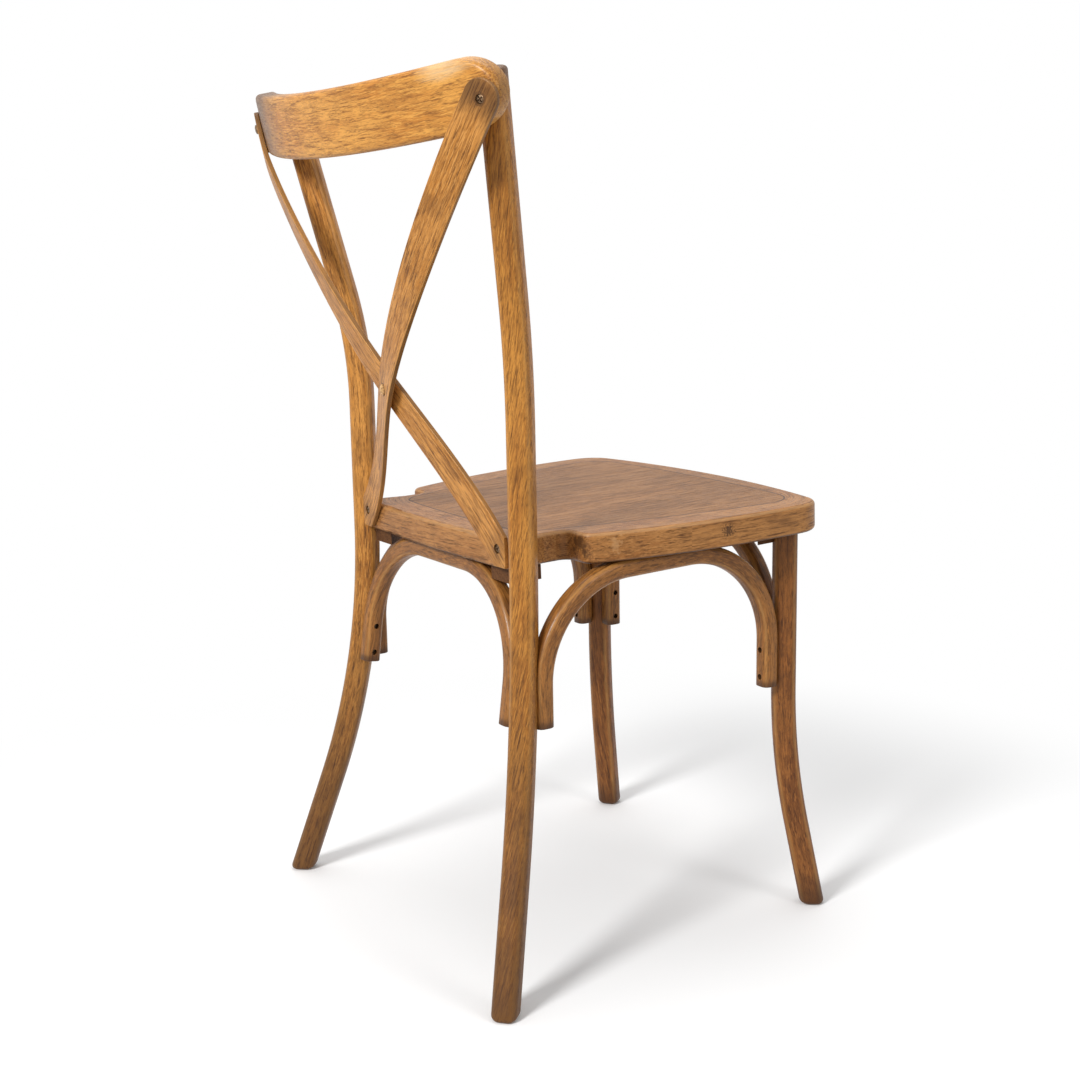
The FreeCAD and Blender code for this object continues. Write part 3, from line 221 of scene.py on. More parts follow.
def stainedOak(place, look, add):
    # Stained, brushed oak under a thin satin lacquer. The pores hold dark glaze and run with the
    # grain, growth rings cut the face in bands that end sharply, the stain takes unevenly, and
    # handled edges are rubbed paler. The fine figure runs out of the stick at a slant, as the
    # wood wasn't split along its grain.
    slanted = add("Mapping", at={"Vector": place, "Rotation": (look["slant"], 0, 0)})
    cells = {}
    for name, (across, along, detail, rough, shift) in figure.items():
        scale = (1 / (across * mm), 1 / (across * mm), 1 / (along * mm))
        laid = add("VectorMath", place if across > 20 else slanted, scale,
                   (shift, shift * 1.7, shift * 0.6), operation="MULTIPLY_ADD")
        cells[name] = add("TexNoise", at={"Vector": laid, "Scale": 1.0, "Detail": detail,
                                          "Roughness": rough})
    # rings lie round the pith and wander; each darkens slowly and ends at once
    pith = add("Mapping", at={"Vector": place, "Location": look["pith"],
                              "Rotation": (look["lean"], 0, 0)})
    reach = add("VectorMath", add("VectorMath", pith, (1, 1, 0), operation="MULTIPLY"),
                operation="LENGTH")
    swing = add("Math", cells["warp"], 0.5, operation="SUBTRACT")
    swing = add("Math", swing, look["wander"] * mm, operation="MULTIPLY")
    phase = add("Math", add("Math", reach, swing, operation="ADD"), look["ring"] * mm,
                operation="DIVIDE")
    phase = add("Math", phase, operation="FRACT")
    late = add("Math", add("MapRange", phase, 0.35, 0.93, 0, 1, **smooth),
               add("MapRange", phase, 0.95, 1.0, 1, 0, **smooth), operation="MULTIPLY")
    washes = {"broad": (0.32, 0.68, 1), "streak": (0.46, 0.68, 1), "stroke": (0.5, 0.64, 0.9),
              "fine": (0.5, 0.7, 0.5), "dashes": (0.54, 0.7, 0.55 * look["pores"]),
              "pores": (0.56, 0.66, 1), "blotch": (0.5, 0.75, look["blotch"])}
    mask = {name: add("MapRange", cells[name], low, high, 0, depth, **smooth)
            for name, (low, high, depth) in washes.items()}
    mask["rings"] = add("Math", late, look["ringDepth"], operation="MULTIPLY")
    opened = add("MapRange", late, 0, 1, 0.4 * look["pores"], 0.75 * look["pores"], **smooth)
    mask["filled"] = add("Math", mask["pores"], opened, operation="MULTIPLY")
    layers = [("broad", "pale"), ("rings", "dark"), ("streak", "dark"), ("stroke", "pale"),
              ("fine", "pale"), ("dashes", "pore"), ("filled", "pore"), ("blotch", "dark")]
    # rubbed edges, then stain left standing; both break up with the figure. The edge tone also
    # carries painted highlights and painted shade, and the standing stain also carries painted
    # shade
    for source, tone, noise, lift, low, depth in (("edge", "worn", "streak", 0.45, 0.35, 0.55),
                                                  ("glaze", "held", "broad", 0.55, 0.1, 0.8)):
        if source in look:
            broken = add("Math", cells[noise], lift, operation="ADD")
            broken = add("Math", look[source], broken, operation="MULTIPLY")
            mask[tone] = add("MapRange", broken, low, 0.95, 0, depth, **smooth)
            layers.append((tone, tone))
    colour = linear(look["middle"])
    for name, tone in layers:
        colour = add("Mix", at={0: mask[name], 6: colour, 7: linear(look[tone])},
                     data_type="RGBA")
    rough = add("MapRange", add("Math", cells["streak"], cells["fine"], operation="ADD"),
                0.6, 1.4, look["rough"], look["rough"] + 0.16, **smooth)
    height = add("Math", add("Math", cells["fine"], 0.4, operation="MULTIPLY"), mask["pores"],
                 operation="SUBTRACT")
    height = add("Math", height, add("Math", cells["streak"], 0.6, operation="MULTIPLY"),
                 operation="ADD")
    bump = add("Bump", at={"Strength": 0.6, "Distance": 0.14 * mm, "Height": height})
    return colour, rough, bump


def woodMaterial(name, look, coordinates=None, masks=None):
    # the pieces of this scene bring their own grain places and masks; CAD nodes are given theirs
    material, add = emptyMaterial(name)
    look = dict(look)
    if coordinates is None:
        place = add("Attribute", attribute_name="grain").outputs["Vector"]
        for mask in ("edge", "glaze"):
            look[mask] = add("Attribute", attribute_name=mask).outputs["Fac"]
    else:
        place = coordinates(add)
        if masks is not None:
            look.update(masks(add))
    colour, rough, normal = stainedOak(place, look, add)
    add("OutputMaterial",
        add("BsdfPrincipled", at={"Base Color": colour, "Roughness": rough, "Normal": normal,
                                  "Coat Weight": look["coat"], **lacquer}))
    return material


lacquer = {"IOR": 1.5, "Specular IOR Level": 0.2, "Coat Roughness": 0.24}
# pith is where the rings' middle lies, in metres; ring and wander are in millimetres
oak = {"middle": "#9a6024", "pale": "#bf8238", "dark": "#623a14", "pore": "#3d230d",
       "worn": "#cf9a58", "held": "#3d2411", "ring": 5.2, "ringDepth": 0.3, "rough": 0.38,
       "wander": 10, "lean": 0.02, "blotch": 0.45, "coat": 0.1, "pores": 0.75, "slant": 0.1,
       "pith": (-0.031, -0.044, 0.0)}
# What each part's tone changes. The legs are darker. The crest rail is paler and its pores are
# nearly filled; its pale cream edge tone is also a painted highlight.
partTones = {
    "LeftPost": dict(middle="#a5692a", pale="#c98b41", slant=0.06),
    "RightPost": dict(pith=(-0.02, -0.05, 0.3), slant=0.2),
    "Legs": dict(middle="#6f4019", pale="#905a29", dark="#46260d", pith=(0.05, -0.02, -0.1)),
    "Arches": dict(middle="#7d4d20", pale="#a06a32", dark="#513010", rough=0.34, coat=0.2,
                   pith=(-0.02, -0.03, 0)),
    "Crest": dict(middle="#b8762e", pale="#d79a49", dark="#845222", worn="#f0cf9f", ring=5.0,
                  wander=22, lean=0.07, blotch=0.22, pores=0.65, slant=0.05, coat=0.16,
                  pith=(-0.004, -0.05, 0.0)),
    "Braces": dict(middle="#b0732f", pale="#cb8f4a", pores=0.5, slant=0.04, lean=0.03,
                   pith=(-0.06, -0.02, 0))}
oaks = {name: woodMaterial("stainedOak" + name, dict(oak, **look))
        for name, look in partTones.items()}


def objectPlace(turn):
    # object coordinates turned so that the grain runs along their Z
    def build(add):
        return add("Mapping", at={"Vector": add("TexCoord").outputs["Object"], "Rotation": turn})
    return build


def ringPlace(add):
    # coordinates in metres that run round the seat frame: across its band, down, and along it.
    # The band is a superellipse of power 5, (|x / width|^5 + |y / depth|^5)^(1/5), that narrows
    # to the rear.
    x, y, z = add("SeparateXYZ", add("TexCoord").outputs["Object"]).outputs
    sums = {"x": x, "y": y}
    for name, operation, first, second in (
            ("middleY", "ADD", "y", 0.055), ("fall", "MULTIPLY", "y", 0.11),
            ("halfWidth", "SUBTRACT", 0.203, "fall"), ("shareX", "DIVIDE", "x", "halfWidth"),
            ("sizeX", "ABSOLUTE", "shareX", 0), ("powerX", "POWER", "sizeX", 5),
            ("shareY", "DIVIDE", "middleY", 0.2), ("sizeY", "ABSOLUTE", "shareY", 0),
            ("powerY", "POWER", "sizeY", 5), ("both", "ADD", "powerX", "powerY"),
            ("root", "POWER", "both", 0.2), ("band", "MULTIPLY", "root", 0.2),
            ("turn", "ARCTAN2", "middleY", "x"), ("along", "MULTIPLY", "turn", 0.26)):
        sums[name] = add("Math", sums.get(first, first), sums.get(second, second),
                         operation=operation)
    return add("CombineXYZ", sums["band"], z, sums["along"])


def seatMasks(add):
    # rounded edges are where the surface turns from level to upright; there the finish is rubbed,
    # while on the panel they are painted dark as shade
    up = add("SeparateXYZ", add("NewGeometry").outputs["Normal"]).outputs[2]
    edge = add("Math", add("MapRange", up, 0.1, 0.5, 0, 1, **smooth),
               add("MapRange", up, 0.8, 0.985, 1, 0, **smooth), operation="MULTIPLY")
    # faces that look down are darkened: painted shade under the seat's parts
    return {"edge": edge, "glaze": add("MapRange", up, -0.9, -0.2, 0.9, 0, **smooth)}


# centres in metres, then the reach and the size of the strokes in millimetres, and the depth
seatMarks = {"glaze": [((-0.2125, -0.098, 0.4435), 9.0, 1.8, 1.0),
                       ((-0.168, 0.0545, 0.441), 17.0, 9.0, 1.0),
                       ((0.168, 0.0545, 0.441), 12.0, 9.0, 0.8),
                       ((0.204, 0.010, 0.436), 7.0, 2.0, 0.8)],
             "edge": [((-0.188, 0.026, 0.442), 14.0, 7.0, 1.0)]}


def frameMasks(add):
    # the frame is also darker in the shoulder behind the seat's side and round a knot near its
    # front: marks fade with the distance from their spot, broken up by noise
    masks = seatMasks(add)
    place = add("TexCoord").outputs["Object"]
    for name, marks in seatMarks.items():
        for spot, size, cell, depth in marks:
            wobble = add("TexNoise", at={"Vector": place, "Scale": 1 / (cell * mm), "Detail": 2.0})
            away = add("Math", add("VectorMath", place, spot, operation="DISTANCE"), size * mm,
                       operation="DIVIDE")
            near = add("Math", away, add("Math", wobble, 2.6, operation="MULTIPLY"),
                       operation="ADD")
            mark = add("MapRange", near, 1.3, 2.4, depth, 0, **smooth)
            masks[name] = add("Math", masks[name], mark, operation="MAXIMUM")
    return masks


seatLook = dict(oak, slant=0.03, pores=0.6, middle="#8f5b2b", pale="#ad7842", dark="#5c3818",
                ring=4.5, worn="#b58a5c", pith=(-0.3, -0.36, 0))
ringOak = woodMaterial("stainedOakSeatFrame", seatLook, ringPlace, frameMasks)
# the panel is one wide board, greyer and more matt than its frame; its rounded edge, where it
# meets the frame, is painted dark as shade
panelLook = dict(seatLook, slant=0.0, pores=0.7, middle="#865a31", pale="#a07144",
                 dark="#5e3c22", ring=7.0, coat=0.04, blotch=0.3, pith=(-0.02, 0.33, 0.0),
                 worn="#54351c", rough=0.42)
panelOak = woodMaterial("stainedOakPanel", panelLook, objectPlace((math.radians(90), 0, 0)),
                        seatMasks)
# the mostly unseen blocks are painted dark, as shade under the seat, and not lacquered
shadedBlockLook = dict(oak, middle="#4d2d14", pale="#66401f", dark="#331c0b", rough=0.6, coat=0.0,
                 pith=(-0.2, -0.1, 0.0))
shadedBlockOak = woodMaterial("blockOakPaintedShade", shadedBlockLook,
                        objectPlace((math.radians(90), 0, math.radians(45))), seatMasks)
# end grain, sanded through the stain
plugOak = woodMaterial("stainedOakPlug", dict(oak, middle="#cfa069", pale="#e0b57c", ring=2.0),
                       objectPlace((math.radians(70), 0, 0)))


def mottledMaterial(name, base, rough, metallic=1.0):
    # zinc-plated steel, dulled by handling and stain in spots of a millimetre, which are rougher;
    # or, not metallic, a dark painted shade
    material, add = emptyMaterial(name)
    spots = add("TexNoise", at={"Vector": add("TexCoord").outputs["Object"], "Scale": 900.0,
                                "Detail": 3.0})
    tone = add("Mix", at={0: add("MapRange", spots, 0.4, 0.65, 0, 1, **smooth), 6: linear(base),
                          7: linear("#5b4632")}, data_type="RGBA")
    roughness = add("MapRange", spots, 0.35, 0.7, rough, rough + 0.25, **smooth)
    bump = add("Bump", at={"Strength": 0.3, "Distance": 0.05 * mm, "Height": spots})
    add("OutputMaterial", add("BsdfPrincipled", at={"Base Color": tone, "Roughness": roughness,
                                                    "Metallic": metallic, "Normal": bump}))
    return material


zinc = mottledMaterial("zincPlatedSteel", "#93795f", 0.36)
darkSteel = mottledMaterial("stainedSteel", "#6b5a4a", 0.42)
# painted shade for the gap round the seat panel and the ring round the plug
gapShade = mottledMaterial("paintedShadeInGaps", "#43281a", 0.5, 0.0)
print("materials made")


def bentPath(heading, runs, step=5.0):
    # heading is the angle from upright; runs are (length, bend radius), a radius turning right
    # when positive and straight when 0. Positions are the running sums of the heading's sine and
    # cosine, so arcs come out true.
    lengths = np.array([run[0] for run in runs], float)
    bends = np.array([1 / run[1] if run[1] else 0.0 for run in runs])
    edges = np.concatenate([[0], np.cumsum(lengths)])
    fineS = np.linspace(0, edges[-1], 4000)
    middleS = (fineS[1:] + fineS[:-1]) / 2
    run = np.clip(np.searchsorted(edges, middleS) - 1, 0, len(runs) - 1)
    ds = np.diff(fineS)
    angle = math.radians(heading) + np.concatenate([[0], np.cumsum(bends[run] * ds)])
    middle = (angle[1:] + angle[:-1]) / 2
    flat = np.concatenate([[0], np.cumsum(np.sin(middle) * ds)])
    rise = np.concatenate([[0], np.cumsum(np.cos(middle) * ds)])
    return {"s": fineS, "flat": flat, "rise": rise, "angle": angle, "step": step}


def fading(along, spots):
    # spots are (centre, reach, strength); each gives strength × exp(-((along - centre) / reach)²)
    return [strength * np.exp(-((along - centre) / reach) ** 2)
            for centre, reach, strength in spots]


cornerPoints = 7  # on each quarter arc of a stick's section and ends
footTop, footClear = 14.0, 8.0  # rows are level up to footTop, and bend with the stick above it


def stickRows(path, shape):
    # rows of one stick: place along the path, inset of the section, its scale, and whether the
    # row is level. An end is a quarter arc, with place r(1 - cos) and inset r(1 - sin).
    edge, flatFoot = shape["edge"], "footEdge" in shape
    turn = np.linspace(0, np.pi / 2, cornerPoints)

    def cap(radius):
        return (np.concatenate([[0, 0], radius * (1 - np.cos(turn))]),
                np.concatenate([[radius, radius], radius * (1 - np.sin(turn))]))
    capPlace, capInset = cap(edge)
    footPlace, footInset = cap(shape.get("footEdge", edge))
    capScale = np.concatenate([[0.0, 0.6], np.ones(cornerPoints)])
    total = path["s"][-1]
    first, clear = (footTop, footClear) if flatFoot else (edge, path["step"])
    count = int((total - first - edge - clear) / path["step"])
    middle = np.linspace(first + clear, total - edge - path["step"], count)
    start = np.concatenate([footPlace, [first] * flatFoot])
    place = np.concatenate([start, middle, total - capPlace[::-1]])
    inset = np.concatenate([footInset, np.zeros(count + flatFoot), capInset[::-1]])
    scale = np.concatenate([capScale, np.ones(count + flatFoot), capScale[::-1]])
    return place, inset, scale, flatFoot & (np.arange(len(place)) < len(start))


def bentStick(name, path, origin, outward, shape, look, slot, replaced, glazeAt, holes=(),
              upright=(0, 0, 1), keepClear=None):
    # A rounded square section carried along a path in the plane of outward and upright: a point
    # is origin + flat × outward + rise × upright + q × side, where flat and rise are the path's
    # own, moved by p square to it. Level rows run on to where the path's foot meets their height.
    place, inset, scale, level = stickRows(path, shape)
    origin, out, up = (np.asarray(v, float) for v in (origin, outward, upright))
    side = np.cross(up, out)
    quarter = np.linspace(0, np.pi / 2, cornerPoints)
    turn = (quarter + np.arange(4)[:, None] * np.pi / 2).ravel()
    signX = np.repeat([1, -1, -1, 1], cornerPoints)
    signY = np.repeat([1, 1, -1, -1], cornerPoints)
    half = (shape["width"] / 2 - shape["corner"]) * scale[:, None]
    radius = (shape["corner"] - inset[:, None]) * scale[:, None]
    p = signX * half + np.cos(turn) * radius
    q = signY * half + np.sin(turn) * radius
    angle = np.interp(place, path["s"], path["angle"])[:, None]
    place, level, first = place[:, None], level[:, None], path["angle"][0]
    along = np.where(level, (place + p * np.sin(angle)) / np.cos(angle), place)
    flat = np.where(level, along * np.sin(first), np.interp(along, path["s"], path["flat"]))
    rise = np.where(level, along * np.cos(first), np.interp(along, path["s"], path["rise"]))
    points = (origin + (flat + p * np.cos(angle))[..., None] * out
              + (rise - p * np.sin(angle))[..., None] * up + q[..., None] * side)
    if keepClear:
        points = keepClear(points)

    def glazeAndShadeOf(grain):
        return np.max(fading(grain[:, 2], glazeAt), axis=0)

    def lay(found):
        # grain of any points: their nearest place along the path, and how far off it they lie
        local = found - origin
        flatOf, riseOf = local @ out, local @ up
        gap = ((flatOf[:, None] - path["flat"][::8]) ** 2
               + (riseOf[:, None] - path["rise"][::8]) ** 2)
        near = gap.argmin(1) * 8
        a = path["angle"][near]
        df, dr = flatOf - path["flat"][near], riseOf - path["rise"][near]
        return np.stack([df * np.cos(a) - dr * np.sin(a), local @ side,
                         path["s"][near] + df * np.sin(a) + dr * np.cos(a)], axis=-1)

    grain = np.stack([p, q, along], axis=-1).reshape(-1, 3)
    # the arrises are rubbed, and the rims of the ends more so
    ends = np.clip(inset / shape["edge"], 0, 1)[:, None] * (scale[:, None] > 0.99)
    layers = {"grain": grain * mm, "edge": np.maximum(0.7 * np.sin(2 * turn) ** 2, ends).ravel(),
              "glaze": glazeAndShadeOf(grain)}
    piece = makePiece(name, points.reshape(-1, 3), loopFaces(len(place), len(turn)), layers, look,
                      slot, replaced)
    if holes:
        boreHoles(piece, holes, lay, glazeAndShadeOf)


# the far end's darkening is painted shade, and the pale spot over the near post is a painted
# highlight
crest = {"thickness": 24, "height": 63, "halfLength": 248.5, "backY": 273.2, "topZ": 880.6,
         "radius": 553, "tilt": 19.3, "lean": 12, "endOval": 42, "edge": 5.5, "rings": 7,
         "rubbed": 0.3, "glazeAt": [(258, 140, 1.15), (-268, 30, 0.5)],
         "rubbedAt": (-205, 42, 0.85), "rubbedFrom": 4, "rubbedOver": 18}
crestTurn = math.radians(crest["tilt"] - crest["lean"])
crestTilt = math.radians(crest["tilt"])


def crestPlace(around, down, deep):
    # a point of the bent plank: angle round its axis, depth below the top edge and under the back
    inside, fall = turned(deep, down, crestTurn)
    radius = crest["radius"] - inside
    x, y = radius * np.sin(around), radius * np.cos(around) - crest["radius"]
    y, z = turned(y, -fall, -crestTilt)
    return np.stack([x, crest["backY"] + y, crest["topZ"] + z], axis=-1)


def crestDepth(points):
    # the same turned round: how far points lie under the plank's back face and below its top
    # edge, and that face's normal
    x, dy, dz = np.moveaxis(points - (0, crest["backY"], crest["topZ"]), -1, 0)
    y, z = turned(dy, dz, crestTilt)
    around = np.arctan2(x, y + crest["radius"])
    inside = crest["radius"] - np.hypot(x, y + crest["radius"])
    deep, down = turned(inside, -z, -crestTurn)
    back, up = turned(math.cos(crestTurn) * np.cos(around), math.sin(crestTurn), -crestTilt)
    return deep, down, np.stack([math.cos(crestTurn) * np.sin(around), back, up], axis=-1)


post = {"width": 26.4, "corner": 9.0, "edge": 4.0, "footEdge": 6.5, "spread": 166.8,
        "setback": 141.7, "plane": 48.2, "footLean": 19.7, "lowTop": 420, "lowRadius": 890,
        "highStart": 560, "highRadius": 500, "recline": 14.6, "top": 890, "crestGap": 0.1,
        "glazeAt": [(0, 40, 0.95), (0, 360, 0.8), (936, 42, 1.3)]}
leg = {"width": 26.4, "corner": 9.5, "edge": 3.0, "footEdge": 6.5, "spread": 175.0,
       "setback": 186.6, "plane": 52.8, "footLean": 11.3, "lowTop": 252, "lowRadius": 797,
       "top": 427, "glazeAt": [(0, 40, 0.8), (0, 220, 0.3), (430, 60, 0.35)]}
sides = {"left": 1, "right": -1}


def seatedOnCrest(points):
    # the post is let into the front of the crest rail: its back stops at the rail's front face,
    # a hair short of it. Points behind or past the rail's edges stay.
    deep, down, normal = crestDepth(points)
    over = np.clip(crest["thickness"] - deep + post["crestGap"], 0, None)
    over = np.where((down > -3) & (down < crest["height"] - 1) & (deep > 5), over, 0)
    return points - normal * over[..., None]


def standingStick(name, shape, upper, sign, rear, look, replaced, keepClear=None):
    # A straight splayed foot, a bend that brings it upright, and the runs above it. The foot
    # stands out by r(1 - cos lean) + height × tan lean.
    lean, turn = math.radians(shape["footLean"]), math.radians(shape["plane"])
    low = shape["lowTop"] - shape["lowRadius"] * math.sin(lean)
    footOut = shape["lowRadius"] * (1 - math.cos(lean)) + low * math.tan(lean)
    path = bentPath(-shape["footLean"],
                    [(low / math.cos(lean), 0), (shape["lowRadius"] * lean, shape["lowRadius"]),
                     *upper])
    out = np.array([sign * math.cos(turn), rear * math.sin(turn), 0])
    origin = np.array([sign * shape["spread"], rear * shape["setback"], 0]) + out * footOut
    bentStick(name, path, origin, out, shape, look, "frame_wood", replaced, shape["glazeAt"],
              keepClear=keepClear)


recline = math.radians(post["recline"])
highTop = post["highStart"] + post["highRadius"] * math.sin(recline)
postRuns = [(post["highStart"] - post["lowTop"], 0),
            (post["highRadius"] * recline, post["highRadius"]),
            ((post["top"] - highTop) / math.cos(recline), 0)]
legRuns = [(leg["top"] - leg["lowTop"], 0)]
for side, sign in sides.items():
    standingStick("backPost_" + side, post, postRuns, sign, 1,
                  oaks[side.capitalize() + "Post"], ["back_post_" + side], seatedOnCrest)
    standingStick("frontLeg_" + side, leg, legRuns, sign, -1, oaks["Legs"],
                  ["front_leg_" + side])
print("posts and legs made")


def plank(name, outline, spine, shape, place, look, slot, replaced, glaze, holes=(), lay=None,
          paintedHighlight=None):
    # a closed sheet between an outline and the spine it shrinks to: out over one face, round the
    # rim by two quarter arcs, and back over the other face
    thickness, edge = shape["thickness"], shape["edge"]
    away = outline - spine
    length = np.linalg.norm(away, axis=1)
    away = away / length[:, None]
    share = np.linspace(0, 1, shape["rings"])[:, None]
    turn = np.linspace(0, np.pi / 2, 5)[1:, None]
    inner = length[None] - edge
    reach = np.concatenate([inner * share, inner + edge * np.sin(turn),
                            inner + edge * np.cos(turn - turn[0]), inner * share[::-1][1:]])
    deep = np.concatenate([0 * share, edge * (1 - np.cos(turn)),
                           thickness - edge * (1 - np.sin(turn - turn[0])),
                           thickness + 0 * share[1:]])
    flat = spine[None] + reach[..., None] * away[None]
    deep = np.broadcast_to(deep, reach.shape)
    points = place(flat[..., 0], flat[..., 1], deep)
    rim = np.clip(1 - np.abs(length[None] - reach - edge * 0.3) / edge, 0, 1).ravel()
    rim = shape["rubbed"] * rim
    grain = np.stack([flat[..., 1], deep, flat[..., 0]], axis=-1).reshape(-1, 3)
    # the optional extra on the edge mask is a painted highlight
    if paintedHighlight:
        rim = np.maximum(rim, paintedHighlight(grain))
    layers = {"grain": grain * mm, "edge": rim, "glaze": glaze(grain)}
    piece = makePiece(name, points.reshape(-1, 3), loopFaces(len(reach), len(outline)), layers,
                      look, slot, replaced)
    if holes:
        boreHoles(piece, holes, lay, glaze)


def crestOutline():
    # half-oval ends on straight sides, in lengths along the back and heights from its middle;
    # an end is length - oval × (1 - cos), half the height × sin
    halfLong = crest["radius"] * math.asin(crest["halfLength"] / crest["radius"])
    halfHigh, oval = crest["height"] / 2, crest["endOval"]
    low = np.linspace((oval - halfLong, -halfHigh), (halfLong - oval, -halfHigh), 97)[:-1]
    turn = np.linspace(-np.pi / 2, np.pi / 2, 32)[:-1]
    end = np.stack([halfLong + oval * (np.cos(turn) - 1), halfHigh * np.sin(turn)], axis=1)
    right = np.concatenate([low, end])
    outline = np.concatenate([right, -right])
    inX = halfLong - halfHigh
    return outline, np.stack([np.clip(outline[:, 0], -inX, inX), 0 * outline[:, 0]], axis=1)


def crestPaintedShade(grain):
    # painted shade darkens the far end, which faces away from the light; a smaller spot darkens
    # the
    # near end: two spots that fade, added
    return sum(fading(grain[:, 2], crest["glazeAt"]))


def crestPaintedHighlight(grain):
    # a painted highlight on the top corner over the near post, in the pale edge tone: one spot,
    # growing with the height
    high = np.clip((grain[:, 0] - crest["rubbedFrom"]) / crest["rubbedOver"], 0, 1)
    return fading(grain[:, 2], [crest["rubbedAt"]])[0] * high


plank("crestRail", *crestOutline(), crest,
      lambda along, high, deep: crestPlace(along / crest["radius"], crest["height"] / 2 - high,
                                           deep),
      oaks["Crest"], "frame_wood", ["crest_rail"], crestPaintedShade, paintedHighlight=crestPaintedHighlight)
print("crest rail made")

# bores are (end, start above the rail's face, radius, length); topGlaze is (centre, reach,
# strength) along the strip, and lowGlaze lies at its low screw
brace = {"width": 35, "thickness": 5, "endRadius": 17, "topX": 235, "topZ": 861, "lowX": 138,
         "lowZ": 442, "crossY": 189.5, "crossZ": 591, "gap": 1.2, "clearance": 0.15,
         "postGap": 150.5, "reach": 18, "pastScrew": 24, "onRail": 34, "edge": 0.9, "rings": 3,
         "crossTurn": 10, "twist": 2.2, "ease": [0.4, 1.1], "short": 3.5, "rubbed": 1.0,
         "sawnEdge": 0.6, "topGlaze": (-4, 26, 0.7), "lowGlaze": (22, 0.5), "points": 199,
         "bores": [("top", -2, 4.3, 16), ("top", 1.9, 6.7, 12), ("low", -2, 4.8, 16)]}


def onCrest(x, z):
    # the point of the crest rail's back face at x and z: repeated steps on its depth
    down = 0.0
    for step in range(30):
        radius = crest["radius"] + down * math.sin(crestTurn)
        point = crestPlace(np.array(math.asin(x / radius)), np.array(down), np.array(0.0))
        down += point[2] - z
    return point, crestDepth(point)[2]


def onSeatRear(x, z):
    # the point of the rear rail's bowed back face at x and z: a circle through the bow's middle
    # and ends, turned by the seat's tilt
    bowRadius = (seat["rearX"] ** 2 + seat["rearBow"] ** 2) / (2 * seat["rearBow"])
    slope = math.radians(seat["tilt"])
    y = seat["rearY"] + seat["rearBow"] - bowRadius + math.sqrt(bowRadius ** 2 - x ** 2)
    deep = (seat["height"] - z - y * math.sin(slope)) / math.cos(slope)
    back, fall = turned(y, deep, slope)
    normal = turned(math.sqrt(1 - (x / bowRadius) ** 2), 0, -slope)
    return np.array([x, back, seat["height"] - fall]), np.array([x / bowRadius, *normal])


def inPlane(direction, normal):
    # the unit vector of what is left of a direction without its share along the normal
    return unitOf(direction - normal * np.sum(direction * normal, axis=-1, keepdims=True))


def naturalTangents(points, first, last):
    # tangents that keep the bend of the spans equal at their joints, spans of chord length
    chord = np.linalg.norm(np.diff(points, axis=0), axis=1)
    matrix, right = np.eye(len(points)), np.zeros_like(points)
    right[0], right[-1] = first, last
    for k in range(1, len(points) - 1):
        a, b = chord[k - 1:k + 1]
        matrix[k, k - 1:k + 2] = b, 2 * (a + b), a
        right[k] = 3 * (b / a * (points[k] - points[k - 1]) + a / b * (points[k + 1] - points[k]))
    return np.linalg.solve(matrix, right), chord


def braceLine(sign, lift):
    # centre line of a strip, its directions and its face normals at even steps: cubic spans from
    # the crest rail's face past the crossing to the rear rail's face
    half = brace["thickness"] / 2 + brace["clearance"]
    top, topNormal = onCrest(sign * brace["topX"], brace["topZ"])
    low, lowNormal = onSeatRear(-sign * brace["lowX"], brace["lowZ"])
    middle = np.array([0, brace["crossY"] + half + lift, brace["crossZ"]])
    topWay, lowWay = inPlane(top - middle, topNormal), inPlane(low - middle, lowNormal)
    edge, edgeNormal = onCrest(top[0] - topWay[0] * brace["onRail"],
                               top[2] - topWay[2] * brace["onRail"])
    points = np.array([top + topNormal * half, edge + edgeNormal * half, middle,
                       low + lowNormal * half])
    slope, chord = naturalTangents(points, -topWay, lowWay)
    ease = np.array([[1, 1], brace["ease"], [1, 1]])
    t = np.linspace(0, 1, brace["points"] + 1)[:-1, None]
    spans = []
    for k in range(3):
        out, into = (slope[k + side] * chord[k] * ease[k, side] for side in (0, 1))
        spans.append((2 * t ** 3 - 3 * t ** 2 + 1) * points[k] + (t ** 3 - 2 * t ** 2 + t) * out
                     + (3 * t ** 2 - 2 * t ** 3) * points[k + 1] + (t ** 3 - t ** 2) * into)
    line = np.concatenate(spans + [points[-1:]])
    line = np.concatenate([line[:1] + topWay * brace["reach"], line,
                           line[-1:] + lowWay * brace["pastScrew"]])
    step = np.linalg.norm(np.diff(line, axis=0), axis=1)
    s = np.concatenate([[0], np.cumsum(step)]) - brace["reach"]
    way = unitOf(np.gradient(line, s, axis=0))
    way[0], way[-1] = -topWay, lowWay
    crossRow = 1 + 2 * brace["points"]
    cross, total = s[crossRow], s[-2]
    share = np.where(s < cross, 0.5 * np.clip(s / cross, 0, 1) ** brace["twist"],
                     0.5 + 0.5 * (s - cross) / (total - cross))
    share = np.clip(share, 0, 1)[:, None]
    # where they cross, both strips face a little to the sitter's left of straight back; the
    # normal is the parabola through the three normals, made square to the line
    turn = math.radians(brace["crossTurn"])
    middleNormal = inPlane(np.array([math.sin(turn), math.cos(turn), 0]), way[crossRow])
    normal = (topNormal * 2 * (share - 0.5) * (share - 1) - middleNormal * 4 * share * (share - 1)
              + lowNormal * 2 * share * (share - 0.5))
    normal = inPlane(normal, way)
    return {"s": s, "line": line, "way": way, "normal": normal, "side": np.cross(way, normal),
            "top": top, "topNormal": topNormal, "low": low, "lowNormal": lowNormal,
            "middle": middle, "middleNormal": middleNormal}


